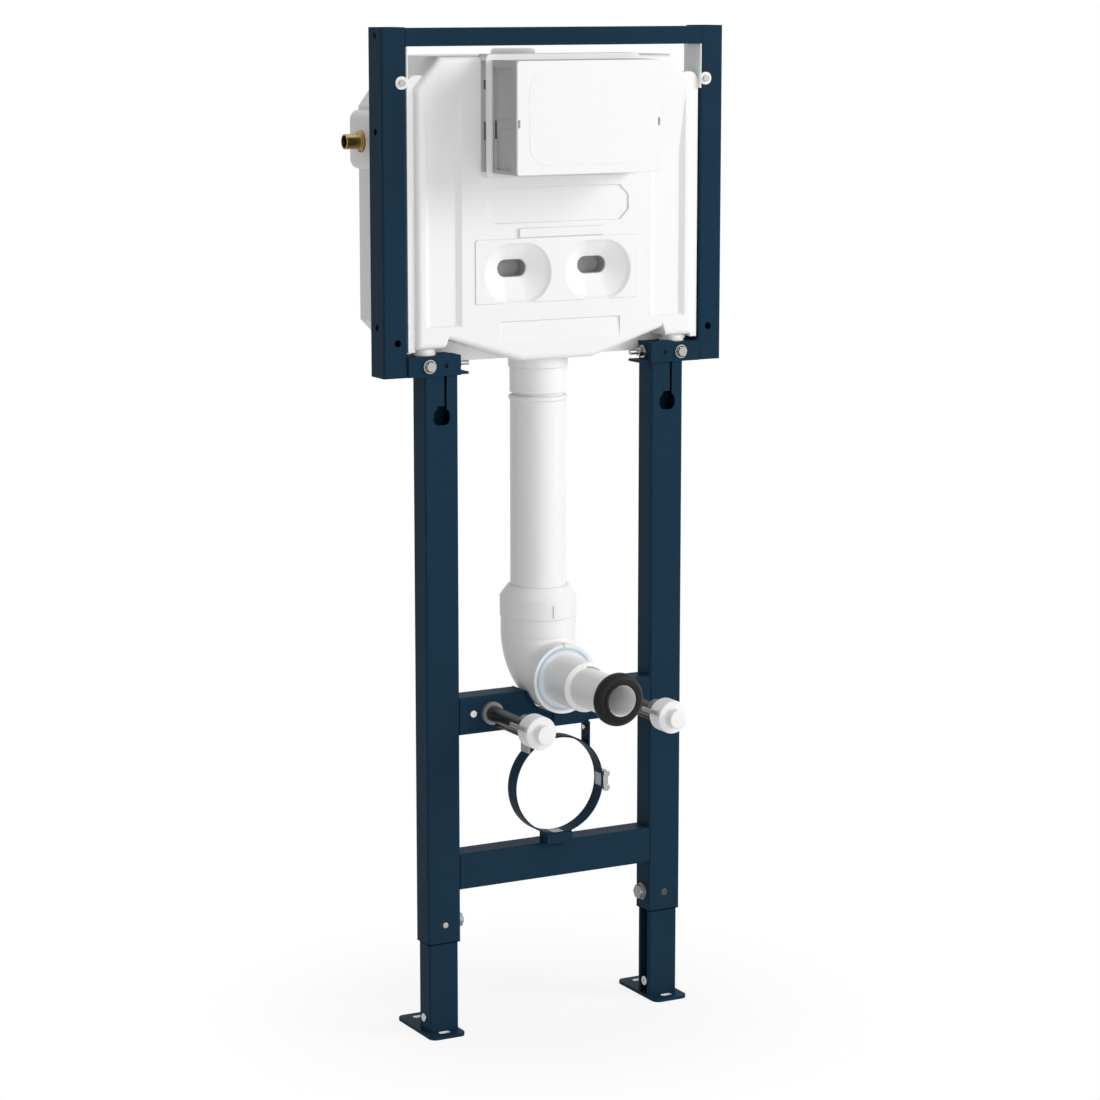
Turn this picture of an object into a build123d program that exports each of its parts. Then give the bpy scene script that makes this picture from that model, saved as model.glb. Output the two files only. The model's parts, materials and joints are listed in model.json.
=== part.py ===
from build123d import *
import os
from math import radians, sin, sqrt

# Wall hung toilet frame with its concealed cistern, in millimetres.
# X runs to the right seen from the front, Y towards the wall, Z up.
# The origin is on the floor, in the middle of the four floor slots.

# The whole frame
frame_width = 459.0
frame_height = 1215.0
front_y = -33.5
steel_wall = 2.0
corner_radius = 3.0
piece_gap = 0.3

# Upper posts and the rail that joins their tops
post_width = 31.0
post_depth = 37.0
post_length = 406.0
side_hole_radius = 4.25
side_hole_drops = (347.0, 120.0, 10.0)
side_hole_setback = 18.5
front_hole_drop = 365.0
front_hole_setback = 18.0
top_rail_height = 21.0
top_rail_depth = 30.0
top_rail_drop = 1.0

# Lower legs, set in from the posts
leg_inset = 44.0
leg_width = 44.0
leg_depth = 33.5
leg_setback = 0.5
keyhole_drop = 73.0
keyhole_width = 22.0
keyhole_height = 20.0
keyhole_round = 8.0
keyhole_neck_width = 12.0
keyhole_neck_height = 3.0
keyhole_slit_width = 3.0
keyhole_slit_offset = 5.0
keyhole_slit_length = 42.0

# Brackets that step from the legs out to the posts
bracket_height = 24.0
bracket_plate = 2.5
bracket_tab_length = 16.0
bracket_tab_depth = 26.0
bracket_tab_plate = 3.0
bracket_hole_radius = 3.0
bracket_hole_inset = 17.0
bracket_bolt_inset = 39.0
bracket_bolt_radius = 3.0
bracket_bolt_flats = 10.0
bracket_bolt_head = 4.0
bracket_washer_radius = 8.2
bracket_washer_height = 1.5
bracket_lobe_inset = 16.0
bracket_lobe_half_length = 14.5
bracket_lobe_rise = 3.0
side_nut_height = 6.0
side_bolt_reach = 19.0

# Telescopic feet
foot_tube_width = 39.4
foot_tube_depth = 29.0
foot_tube_length = 300.0
foot_slot_width = 18.0
foot_plate_width = 47.5
foot_plate_depth = 99.0
foot_plate_thickness = 4.0
foot_plate_radius = 9.0
foot_plate_shift = 2.5
floor_slot_length = 15.0
floor_slot_diameter = 8.0
floor_slot_spacing = 71.0
foot_bolt_height = 20.0
foot_bolt_radius = 3.0
foot_bolt_head_radius = 5.3
foot_bolt_head = 2.5
foot_bolt_round = 1.4
foot_nut_radius = 6.8
foot_nut_height = 3.0

# Clamping bolts of the legs and the buttons in front of them
clamp_bolt_radius = 4.0
clamp_bolt_flats = 16.0
clamp_bolt_head = 7.0
clamp_bolt_chamfer = 1.2
clamp_washer_radius = 10.5
clamp_washer_height = 1.6
button_radius = 4.8
button_stand = 2.2

# Waste hoop with its hangers and its foot
hoop_height = 296.5
hoop_bore_radius = 59.5
hoop_thickness = 2.0
hoop_width = 19.0
hoop_setback = 2.5
hanger_drop = 13.5
hanger_x = 42.0
hanger_plate = 2.0
hoop_foot_height = 11.2
hoop_foot_length = 35.0
hoop_foot_plate = 2.0
hoop_foot_front = 12.2
hoop_foot_hook = 16.0
hoop_foot_post = 12.0
screw_box_length = 20.0
screw_box_width = 8.0
screw_box_margin = 2.0

# Cross rails
mid_rail_height = 46.0
lower_rail_height = 44.5
clamp_bolt_drop = 41.3
leg_end_drop = 22.0
rail_gap = 0.2

# Pan studs
studs_above_waste = 99.2
stud_spacing = 180.0
stud_radius = 6.0
stud_reach = 134.0
stud_collar_radius = 14.0
stud_collar_length = 6.0
sleeve_radius = 9.5
sleeve_reach = 105.0
cap_radius = 20.0
cap_length = 23.0
cap_boss_radius = 11.5
cap_boss_length = 12.6
cap_round = 2.0

# Flush elbow, with the notch in the rail and the saddle below it
flush_above_waste = 135.5
elbow_radius = 46.2
elbow_mouth_radius = 42.3
elbow_wall = 3.5
elbow_bend = 47.0
elbow_mouth_reach = 21.0
elbow_ring_radius = 42.9
elbow_ring_length = 12.0
elbow_collar_radius = 47.2
elbow_collar_rise = 68.6
elbow_collar_height = 25.0
elbow_taper_height = 13.1
pipe_seat_rise = 80.0
notch_radius = 46.5
saddle_plate = 2.0
saddle_front_plate = 3.0
saddle_front_left = -5.0
saddle_front_right = 44.0
saddle_front_height = 18.5
saddle_lip_plate = 1.5
saddle_lip_depth = 12.0
saddle_lip_right = 40.0

# Connector towards the pan and its two seals
elbow_seal_length = 8.0
connector_first_radius = 30.3
connector_first_reach = 75.0
connector_radius = 24.3
connector_reach = 150.0
connector_wall = 2.5
connector_tail = 20.0
connector_shoulder = 3.0
spigot_radius = 20.3
spigot_bore = 18.3
spigot_reach = 160.0
ring_seal_radius = 31.0
ring_seal_reach = 162.0
ring_seal_length = 15.0
ring_seal_round = 4.0

# Flush pipe and the outlet nut under the cistern
pipe_depth = 51.0
pipe_radius = 34.1
pipe_wall = 2.5
outlet_bore_radius = 27.0
nut_collar_radius = 36.5
nut_collar_height = 13.0
nut_collar_round = 3.0
nut_socket_radius = 34.6
nut_socket_height = 44.0
nut_neck_radius = 30.4
nut_neck_height = 48.0
bead_radius = 36.0
bead_height = 5.5
bead_round = 1.8

# Cistern: heights are above its bottom, depths behind its front
tank_stand = 3.0
tank_height = 360.0
tank_depth = 130.0
tank_wall = 4.0
tank_round = 7.0
tank_side_gap = 11.0
tank_foot_height = 20.0
tank_foot_width = 36.5
front_chamfer_width = 31.5
front_chamfer_height = 36.0
vee_flat = 49.0
vee_step = 4.0
vee_end_height = 31.0
step_depth = 41.0
rear_overhang = 1.2
rear_chamfer_width = 44.0
rear_chamfer_height = 60.0
rear_foot_width = 46.0
rear_foot_height = 46.0
ear_gap = 2.0
ear_depth = 6.0
ear_width = 28.0
ear_top = 339.0
ear_bottom = 36.0
ear_round = 12.5
ear_foot_width = 9.0
ear_foot_bottom = 17.0

# Recesses, pockets and raised fields in the front of the cistern
recess_wall = 2.5
funnel_offset = 54.3
funnel_height = 105.0
funnel_radius = 45.0
funnel_half_height = 36.0
funnel_flat = 14.0
funnel_rim = 3.5
funnel_rim_depth = 2.5
funnel_depth = 16.0
funnel_slot_rise = 5.0
funnel_slot_half_length = 19.5
funnel_slot_half_height = 10.5
funnel_slot_depth = 20.0
pocket_margin = 11.5
pocket_width = 47.5
pocket_bottom = 45.0
pocket_top = 316.0
pocket_floor_top = 245.0
pocket_depth = 4.4
pocket_draft = 6.5
label_half_width = 96.6
label_bottom = 164.5
label_top = 206.0
label_corner = 12.0
label_depth = 1.6
panel_half_width = 111.0
panel_bottom = 70.0
panel_top = 146.0
panel_stand = 1.0
panel_round = 3.0
bar_left = -53.0
bar_right = 62.0
bar_bottom = 147.5
bar_top = 158.0
bar_stand = 2.5
scoop_left = -78.0
scoop_right = 85.0
scoop_bottom = 24.0
scoop_top = 48.0
scoop_depth = 2.0

# Access opening with its building lid
neck_half_width = 103.0
neck_bottom = 219.0
neck_top = 362.5
neck_stand = 14.0
neck_root = 8.0
neck_round = 5.0
box_half_width = 95.5
box_bottom = 225.0
box_top = 356.0
box_reach = 77.0
box_wall = 3.0
box_border = 6.0
box_recess = 0.8
lid_thickness = 3.0
lid_radius = 3.0
lid_notch_inset = 2.2
lid_notch_width = 3.0
lid_notch_height = 9.0
lid_notch_place = 284.0

# Filling inlet on the left and the air cap on top
bulge_stand = 11.3
bulge_depth = 65.0
bulge_bottom = 226.0
bulge_top = 296.0
bulge_radius = 12.0
inlet_depth = 96.0
inlet_height = 260.0
inlet_radius = 9.0
inlet_bore = 7.5
inlet_length = 19.0
inlet_flange_radius = 13.0
inlet_flange_height = 3.2
gasket_radius = 17.5
gasket_height = 1.5
dome_radius = 27.0
dome_height = 7.0
dome_round = 5.0
dome_x = -7.0
dome_depth = 101.0

# Pads under the cistern and fixing clips between it and the posts
pad_radius = 14.0
pad_height = 8.0
pad_inset = 17.5
pad_setback = 17.0
clip_plate = 1.6
clip_length = 53.0
clip_tab_height = 15.0
clip_tab_reach = 15.5
clip_tab_round = 7.0
clip_tab_rise = 11.5
clip_tab_plate = 1.5
clip_screw_radius = 3.9
clip_screw_height = 3.0

# Derived widths and depths, from the posts inwards
post_centre_x = (frame_width - post_width) / 2
post_inner_x = frame_width / 2 - post_width
post_centre_y = front_y + post_depth / 2
leg_centre_x = post_inner_x - leg_inset
leg_inner_x = leg_centre_x - leg_width / 2
leg_front_y = front_y + leg_setback
leg_centre_y = leg_front_y + leg_depth / 2
bracket_front_y = leg_front_y - bracket_plate
bracket_bolt_x = leg_inner_x + bracket_bolt_inset
plate_centre_x = leg_centre_x + foot_plate_shift
foot_outer_x = leg_centre_x + foot_tube_width / 2
ear_half_width = post_inner_x - ear_gap
tank_half_width = post_inner_x - tank_side_gap
rear_half_width = post_inner_x + rear_overhang
tank_foot_x = tank_half_width - tank_foot_width
tank_front_y = front_y - tank_stand
pipe_y = tank_front_y + pipe_depth
inlet_y = tank_front_y + inlet_depth
bulge_half_width = rear_half_width + bulge_stand
hoop_centre_y = front_y + hoop_setback
hoop_radius = hoop_bore_radius + hoop_thickness

# Derived heights, down from the top of the frame
post_bottom_z = frame_height - post_length
bracket_top_z = post_bottom_z + bracket_height
bracket_centre_z = post_bottom_z + bracket_height / 2
leg_top_z = bracket_top_z - bracket_plate
keyhole_z = bracket_top_z - keyhole_drop
rail_bottom_z = frame_height - top_rail_drop - top_rail_height
tank_bottom_z = bracket_top_z + pad_height - tank_foot_height
tank_top_z = tank_bottom_z + tank_height
inlet_z = tank_bottom_z + inlet_height
bead_top_z = tank_bottom_z - nut_neck_height
bead_bottom_z = bead_top_z - bead_height

# Derived heights, up and down from the waste hoop
mid_rail_bottom_z = hoop_height + hoop_radius + hanger_drop
mid_rail_top_z = mid_rail_bottom_z + mid_rail_height
lower_rail_top_z = hoop_height - hoop_radius - hoop_foot_height
clamp_bolt_z = lower_rail_top_z - lower_rail_height - clamp_bolt_drop
leg_bottom_z = clamp_bolt_z - leg_end_drop
stud_z = hoop_height + studs_above_waste
outlet_z = hoop_height + flush_above_waste
pipe_bottom_z = outlet_z + pipe_seat_rise

# Derived places of what stands in front of the frame
collar_front_y = leg_front_y - rail_gap - stud_collar_length
sleeve_front_y = front_y - sleeve_reach
cap_front_y = sleeve_front_y - cap_length
elbow_mouth_y = front_y - elbow_mouth_reach
connector_first_y = front_y - connector_first_reach
connector_front_y = front_y - connector_reach
spigot_front_y = front_y - spigot_reach
ring_front_y = front_y - ring_seal_reach
box_back_y = tank_front_y - neck_stand
box_front_y = front_y - box_reach
sides = (("left", -1), ("right", 1))

os.makedirs("parts", exist_ok=True)


def write_piece(piece, name):
    piece.part.label = name
    export_step(piece.part, f"parts/{name}.step")


def hex_circumradius(flats):
    return flats / 2 / sin(radians(60))


def front_plane(y):
    """Upright plane at a depth, facing the front."""
    return Plane.XZ.offset(-y)


def tank_plane(depth):
    """Upright plane behind the cistern's front, with its origin level with the cistern's bottom."""
    return Plane(origin=(0, tank_front_y + depth, tank_bottom_z), x_dir=(1, 0, 0), z_dir=(0, -1, 0))


# Upper posts: rectangular tubes with fixing holes in the outer side and the front
for side, sign in sides:
    with BuildPart() as upper_post:
        with BuildSketch(Plane.XY.offset(post_bottom_z)):
            with Locations((sign * post_centre_x, post_centre_y)):
                RectangleRounded(post_width, post_depth, corner_radius)
                Rectangle(post_width - 2 * steel_wall, post_depth - 2 * steel_wall, mode=Mode.SUBTRACT)
        extrude(amount=post_length)
        with BuildSketch(Plane.YZ.offset(sign * frame_width / 2)):
            for drop in side_hole_drops:
                with Locations((front_y + side_hole_setback, frame_height - drop)):
                    Circle(side_hole_radius)
        extrude(amount=-sign * post_width / 2, mode=Mode.SUBTRACT)
        with BuildSketch(front_plane(front_y)):
            with Locations((sign * (frame_width / 2 - front_hole_setback), frame_height - front_hole_drop)):
                Circle(side_hole_radius)
        extrude(amount=-post_depth / 2, mode=Mode.SUBTRACT)
    write_piece(upper_post, f"upper_post_{side}")

# Top rail: a channel open towards the wall, welded between the posts
with BuildPart() as top_rail:
    with BuildSketch(Plane.YZ.offset(-post_inner_x)):
        with Locations((front_y + top_rail_depth / 2, rail_bottom_z + top_rail_height / 2)):
            Rectangle(top_rail_depth, top_rail_height)
        with Locations((front_y + top_rail_depth / 2 + steel_wall, rail_bottom_z + top_rail_height / 2)):
            Rectangle(top_rail_depth, top_rail_height - 2 * steel_wall, mode=Mode.SUBTRACT)
    extrude(amount=2 * post_inner_x)
write_piece(top_rail, "top_rail")

# Lower legs: tubes with a keyhole in the front near the top
for side, sign in sides:
    with BuildPart() as leg:
        with BuildSketch(Plane.XY.offset(leg_bottom_z)):
            with Locations((sign * leg_centre_x, leg_centre_y)):
                RectangleRounded(leg_width, leg_depth, corner_radius)
                Rectangle(leg_width - 2 * steel_wall, leg_depth - 2 * steel_wall, mode=Mode.SUBTRACT)
        extrude(amount=leg_top_z - leg_bottom_z)
        with BuildSketch(front_plane(leg_front_y)):
            with Locations((sign * leg_centre_x, keyhole_z)):
                RectangleRounded(keyhole_width, keyhole_height, keyhole_round)
            with Locations((sign * leg_centre_x, keyhole_z + keyhole_height / 2)):
                Rectangle(keyhole_neck_width, 2 * keyhole_neck_height)
            with Locations((sign * leg_centre_x + keyhole_slit_offset, keyhole_z + keyhole_slit_length / 2)):
                Rectangle(keyhole_slit_width, keyhole_slit_length)
            with Locations((sign * leg_centre_x, clamp_bolt_z)):
                Circle(button_radius + piece_gap)
            with Locations((sign * bracket_bolt_x, bracket_centre_z)):
                Circle(bracket_bolt_radius + piece_gap)
        extrude(amount=-leg_depth / 2, mode=Mode.SUBTRACT)
        with BuildSketch(Plane.YZ.offset(sign * leg_inner_x)):
            with Locations((leg_centre_y, clamp_bolt_z)):
                Circle(clamp_bolt_radius + piece_gap)
            with Locations((leg_centre_y, bracket_centre_z)):
                Circle(bracket_bolt_radius + piece_gap)
        extrude(amount=sign * leg_width / 2, mode=Mode.SUBTRACT)
    write_piece(leg, f"leg_{side}")

# Brackets: a front plate and a top plate bent from one strip, with a tab at the inner end
for side, sign in sides:
    with BuildPart() as bracket:
        with BuildSketch(Plane.YZ.offset(sign * leg_inner_x)):
            with Locations((bracket_front_y + bracket_plate / 2, bracket_centre_z)):
                Rectangle(bracket_plate, bracket_height)
            with Locations((bracket_front_y + (leg_depth + bracket_plate) / 2,
                            bracket_top_z - bracket_plate / 2)):
                Rectangle(leg_depth + bracket_plate, bracket_plate)
        extrude(amount=sign * (post_inner_x - leg_inner_x))
        with BuildSketch(front_plane(bracket_front_y)):
            with Locations((sign * (leg_inner_x + bracket_lobe_inset), bracket_top_z)):
                Ellipse(bracket_lobe_half_length, bracket_lobe_rise)
        extrude(amount=-bracket_plate)
        with BuildSketch(Plane.XY.offset(post_bottom_z)):
            with Locations((sign * (leg_inner_x - bracket_tab_length / 2), leg_centre_y)):
                Rectangle(bracket_tab_length, bracket_tab_depth)
        extrude(amount=bracket_tab_plate)
        with BuildSketch(Plane.YZ.offset(sign * leg_inner_x)):
            with Locations((bracket_front_y + bracket_tab_depth / 2, bracket_centre_z)):
                Rectangle(bracket_tab_depth, bracket_height)
            with Locations((leg_centre_y, bracket_centre_z)):
                Circle(bracket_bolt_radius + piece_gap, mode=Mode.SUBTRACT)
        extrude(amount=-sign * bracket_plate)
        with BuildSketch(front_plane(bracket_front_y)):
            with Locations((sign * (leg_inner_x + bracket_hole_inset), bracket_centre_z)):
                Circle(bracket_hole_radius)
            with Locations((sign * bracket_bolt_x, bracket_centre_z)):
                Circle(bracket_bolt_radius + piece_gap)
        extrude(amount=-bracket_plate, mode=Mode.SUBTRACT)
    write_piece(bracket, f"bracket_{side}")

    # Flanged bolt through the bracket into the leg, and the bolt with its nut at the inner end
    washer_back_y = bracket_front_y - piece_gap
    washer_front_y = washer_back_y - bracket_washer_height
    side_washer_x = sign * (leg_inner_x - bracket_plate - piece_gap)
    side_nut_x = side_washer_x - sign * bracket_washer_height
    with BuildPart() as bracket_bolts:
        with BuildSketch(front_plane(washer_back_y)):
            with Locations((sign * bracket_bolt_x, bracket_centre_z)):
                Circle(bracket_washer_radius)
        extrude(amount=bracket_washer_height)
        with BuildSketch(front_plane(washer_front_y)):
            with Locations((sign * bracket_bolt_x, bracket_centre_z)):
                RegularPolygon(hex_circumradius(bracket_bolt_flats), 6)
        extrude(amount=bracket_bolt_head)
        with BuildSketch(front_plane(washer_back_y)):
            with Locations((sign * bracket_bolt_x, bracket_centre_z)):
                Circle(bracket_bolt_radius)
        extrude(amount=-leg_depth / 2)
        with BuildSketch(Plane.YZ.offset(side_washer_x)):
            with Locations((leg_centre_y, bracket_centre_z)):
                Circle(bracket_washer_radius)
        extrude(amount=-sign * bracket_washer_height)
        with BuildSketch(Plane.YZ.offset(side_nut_x)):
            with Locations((leg_centre_y, bracket_centre_z)):
                RegularPolygon(hex_circumradius(bracket_bolt_flats), 6)
        extrude(amount=-sign * side_nut_height)
        with BuildSketch(Plane.YZ.offset(side_washer_x)):
            with Locations((leg_centre_y, bracket_centre_z)):
                Circle(bracket_bolt_radius)
        extrude(amount=-sign * side_bolt_reach)
        with BuildSketch(Plane.YZ.offset(side_washer_x)):
            with Locations((leg_centre_y, bracket_centre_z)):
                Circle(bracket_bolt_radius)
        extrude(amount=sign * leg_width / 4)
    write_piece(bracket_bolts, f"bracket_bolts_{side}")

# Cross rails: tubes between the legs, the upper one notched for the elbow
with BuildPart() as mid_rail:
    with BuildSketch(Plane.YZ.offset(-leg_inner_x)):
        with Locations((leg_centre_y, mid_rail_bottom_z + mid_rail_height / 2)):
            RectangleRounded(leg_depth, mid_rail_height, corner_radius)
            Rectangle(leg_depth - 2 * steel_wall, mid_rail_height - 2 * steel_wall, mode=Mode.SUBTRACT)
    extrude(amount=2 * leg_inner_x)
    with BuildSketch(front_plane(front_y)):
        with Locations((0, outlet_z)):
            Circle(notch_radius)
        for sign in (-1, 1):
            with Locations((sign * stud_spacing / 2, stud_z)):
                Circle(stud_radius + piece_gap)
    extrude(amount=-2 * leg_depth, mode=Mode.SUBTRACT)
write_piece(mid_rail, "mid_rail")

with BuildPart() as lower_rail:
    with BuildSketch(Plane.YZ.offset(-leg_inner_x)):
        with Locations((leg_centre_y, lower_rail_top_z - lower_rail_height / 2)):
            RectangleRounded(leg_depth, lower_rail_height, corner_radius)
            Rectangle(leg_depth - 2 * steel_wall, lower_rail_height - 2 * steel_wall, mode=Mode.SUBTRACT)
    extrude(amount=2 * leg_inner_x)
write_piece(lower_rail, "lower_rail")

# Telescopic feet: a channel open towards the middle, on a slotted plate
for side, sign in sides:
    with BuildPart() as foot_tube:
        with BuildSketch(Plane.XY.offset(foot_plate_thickness)):
            with Locations((sign * leg_centre_x, leg_centre_y)):
                RectangleRounded(foot_tube_width, foot_tube_depth, corner_radius)
                Rectangle(foot_tube_width - 2 * steel_wall, foot_tube_depth - 2 * steel_wall,
                          mode=Mode.SUBTRACT)
            with Locations((sign * (leg_centre_x - foot_tube_width / 2), leg_centre_y)):
                Rectangle(foot_tube_width / 4, foot_slot_width, mode=Mode.SUBTRACT)
        extrude(amount=foot_tube_length)
        with BuildSketch(Plane.YZ.offset(sign * leg_centre_x)):
            with Locations((leg_centre_y, foot_bolt_height)):
                Circle(foot_bolt_radius + piece_gap)
        extrude(amount=sign * foot_tube_width, mode=Mode.SUBTRACT)
    write_piece(foot_tube, f"foot_tube_{side}")

    with BuildPart() as foot_plate:
        with BuildSketch():
            with Locations((sign * plate_centre_x, 0)):
                RectangleRounded(foot_plate_width, foot_plate_depth, foot_plate_radius)
            for end in (-1, 1):
                with Locations((sign * plate_centre_x, end * floor_slot_spacing / 2)):
                    SlotOverall(floor_slot_length, floor_slot_diameter, mode=Mode.SUBTRACT)
        extrude(amount=foot_plate_thickness)
    write_piece(foot_plate, f"foot_plate_{side}")

    # Button-headed bolt on the outer side of the channel, with a round nut inside its slot
    with BuildPart() as foot_bolt:
        with BuildSketch(Plane.YZ.offset(sign * foot_outer_x)):
            with Locations((leg_centre_y, foot_bolt_height)):
                Circle(foot_bolt_head_radius)
        extrude(amount=sign * foot_bolt_head)
        fillet(foot_bolt.edges().sort_by(Axis.X)[-1 if sign > 0 else 0], foot_bolt_round)
        with BuildSketch(Plane.YZ.offset(sign * (foot_outer_x - steel_wall))):
            with Locations((leg_centre_y, foot_bolt_height)):
                Circle(foot_nut_radius)
        extrude(amount=-sign * foot_nut_height)
        with BuildSketch(Plane.YZ.offset(sign * foot_outer_x)):
            with Locations((leg_centre_y, foot_bolt_height)):
                Circle(foot_bolt_radius)
        extrude(amount=-sign * (steel_wall + 2 * foot_nut_height))
    write_piece(foot_bolt, f"foot_bolt_{side}")

    # Clamping bolt of the leg: its shank passes through the channel's slot
    washer_x = sign * (leg_inner_x - piece_gap)
    head_x = washer_x - sign * clamp_washer_height
    with BuildPart() as clamp_bolt:
        with BuildSketch(Plane.YZ.offset(head_x)):
            with Locations((leg_centre_y, clamp_bolt_z)):
                RegularPolygon(hex_circumradius(clamp_bolt_flats), 6)
        extrude(amount=-sign * clamp_bolt_head)
        outer_face = clamp_bolt.faces().sort_by(Axis.X)[0 if sign > 0 else -1]
        chamfer(outer_face.edges(), clamp_bolt_chamfer)
        with BuildSketch(Plane.YZ.offset(washer_x)):
            with Locations((leg_centre_y, clamp_bolt_z)):
                Circle(clamp_washer_radius)
        extrude(amount=-sign * clamp_washer_height)
        with BuildSketch(Plane.YZ.offset(washer_x)):
            with Locations((leg_centre_y, clamp_bolt_z)):
                Circle(clamp_bolt_radius)
        extrude(amount=sign * leg_width / 4)
    write_piece(clamp_bolt, f"clamp_bolt_{side}")

# Round buttons in the front of the legs, over the clamping bolts
with BuildPart() as leg_buttons:
    with BuildSketch(front_plane(leg_front_y - button_stand)):
        for sign in (-1, 1):
            with Locations((sign * leg_centre_x, clamp_bolt_z)):
                Circle(button_radius)
    extrude(amount=-button_stand - steel_wall)
write_piece(leg_buttons, "leg_buttons")

# Pan studs with their sleeves and end caps
for side, sign in sides:
    stud_x = sign * stud_spacing / 2
    with BuildPart() as stud:
        with BuildSketch(front_plane(front_y - stud_reach)):
            with Locations((stud_x, stud_z)):
                Circle(stud_radius)
        extrude(amount=-stud_reach - leg_setback - leg_depth)
        with BuildSketch(front_plane(collar_front_y)):
            with Locations((stud_x, stud_z)):
                Circle(stud_collar_radius)
        extrude(amount=-stud_collar_length)
    write_piece(stud, f"stud_{side}")

    with BuildPart() as stud_sleeve:
        with BuildSketch(front_plane(sleeve_front_y)):
            with Locations((stud_x, stud_z)):
                Circle(sleeve_radius)
                Circle(stud_radius + piece_gap, mode=Mode.SUBTRACT)
        extrude(amount=sleeve_front_y - collar_front_y)
    write_piece(stud_sleeve, f"stud_sleeve_{side}")

    with BuildPart() as stud_cap:
        with BuildSketch(front_plane(sleeve_front_y)):
            with Locations((stud_x, stud_z)):
                Circle(cap_radius)
        extrude(amount=cap_length)
        with BuildSketch(front_plane(cap_front_y)):
            with Locations((stud_x, stud_z)):
                Circle(cap_boss_radius)
        extrude(amount=cap_boss_length)
        round_edges = stud_cap.edges().filter_by(GeomType.CIRCLE).sort_by(Axis.Y)
        fillet([round_edges[0], round_edges[-1]], cap_round)
        with BuildSketch(front_plane(sleeve_front_y)):
            with Locations((stud_x, stud_z)):
                Circle(stud_radius + piece_gap)
        extrude(amount=stud_reach - sleeve_reach, mode=Mode.SUBTRACT)
    write_piece(stud_cap, f"stud_cap_{side}")


def front_outline(depth, inset):
    """Front of the cistern: chamfered top corners, feet at the sides and a shallow vee below."""
    with BuildSketch(tank_plane(depth)) as outline:
        with BuildLine():
            Polyline(
                (0, tank_height),
                (tank_half_width - front_chamfer_width, tank_height),
                (tank_half_width, tank_height - front_chamfer_height),
                (tank_half_width, tank_foot_height),
                (tank_foot_x, tank_foot_height),
                (tank_foot_x - vee_step, vee_end_height),
                (vee_flat, 0),
                (0, 0),
                close=True,
            )
        make_face()
        mirror(about=Plane.YZ)
        if inset:
            offset(amount=-inset, kind=Kind.INTERSECTION, mode=Mode.REPLACE)
    return outline.sketch


def rear_outline(depth, inset):
    """Rear of the cistern: wider, with larger corners above and below."""
    with BuildSketch(tank_plane(depth)) as outline:
        with BuildLine():
            Polyline(
                (0, tank_height),
                (rear_half_width - rear_chamfer_width, tank_height),
                (rear_half_width, tank_height - rear_chamfer_height),
                (rear_half_width, rear_foot_height),
                (rear_half_width - rear_foot_width, 0),
                (0, 0),
                close=True,
            )
        make_face()
        mirror(about=Plane.YZ)
        if inset:
            offset(amount=-inset, kind=Kind.INTERSECTION, mode=Mode.REPLACE)
    return outline.sketch


def funnel_section(sign, depth, rise, half_length, half_height, flat):
    """Round section with a flat top and bottom; the same four edges at every depth."""
    centre_x = sign * funnel_offset
    middle = funnel_height + rise
    with BuildSketch(tank_plane(depth)) as section:
        with BuildLine():
            Line((centre_x - flat, middle + half_height), (centre_x + flat, middle + half_height))
            ThreePointArc((centre_x + flat, middle + half_height), (centre_x + half_length, middle),
                          (centre_x + flat, middle - half_height))
            Line((centre_x + flat, middle - half_height), (centre_x - flat, middle - half_height))
            ThreePointArc((centre_x - flat, middle - half_height), (centre_x - half_length, middle),
                          (centre_x - flat, middle + half_height))
        make_face()
    return section.sketch


def funnel(sign, grow, start):
    """Recess that narrows from a flattened circle to a short slot with a floor."""
    slot_flat = funnel_slot_half_length - funnel_slot_half_height
    rim = funnel_section(sign, start, 0, funnel_radius + grow, funnel_half_height + grow, funnel_flat)
    throat = funnel_section(sign, funnel_rim_depth + grow, 0, funnel_radius - funnel_rim + grow,
                            funnel_half_height - funnel_rim + grow, funnel_flat)
    slot = funnel_section(sign, funnel_depth, funnel_slot_rise, funnel_slot_half_length + grow,
                          funnel_slot_half_height + grow, slot_flat)
    with BuildPart() as recess:
        loft(sections=[rim, throat, slot], ruled=True)
        extrude(slot, amount=-funnel_slot_depth - grow)
    return recess.part


def pocket(sign, grow):
    """Long side pocket with sloping walls, whose floor runs out at the top."""
    centre_x = sign * (tank_half_width - pocket_margin - pocket_width / 2)
    width = pocket_width + 2 * grow
    floor_bottom = pocket_bottom + pocket_depth / 2
    with BuildPart() as hollow:
        with BuildSketch(tank_plane(0)):
            with Locations((centre_x, (pocket_bottom + pocket_top) / 2)):
                Rectangle(width, pocket_top - pocket_bottom + 2 * grow)
        with BuildSketch(tank_plane(pocket_depth + grow)):
            with Locations((centre_x, (floor_bottom + pocket_floor_top) / 2)):
                Rectangle(width - 2 * pocket_draft, pocket_floor_top - floor_bottom + 2 * grow)
        loft(ruled=True)
    return hollow.part


def field(depth, left, right, bottom, top):
    """Plain rectangle on an upright plane of the cistern."""
    with BuildSketch(tank_plane(depth)) as shape:
        with Locations(((left + right) / 2, (bottom + top) / 2)):
            Rectangle(right - left, top - bottom)
    return shape.sketch


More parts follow.
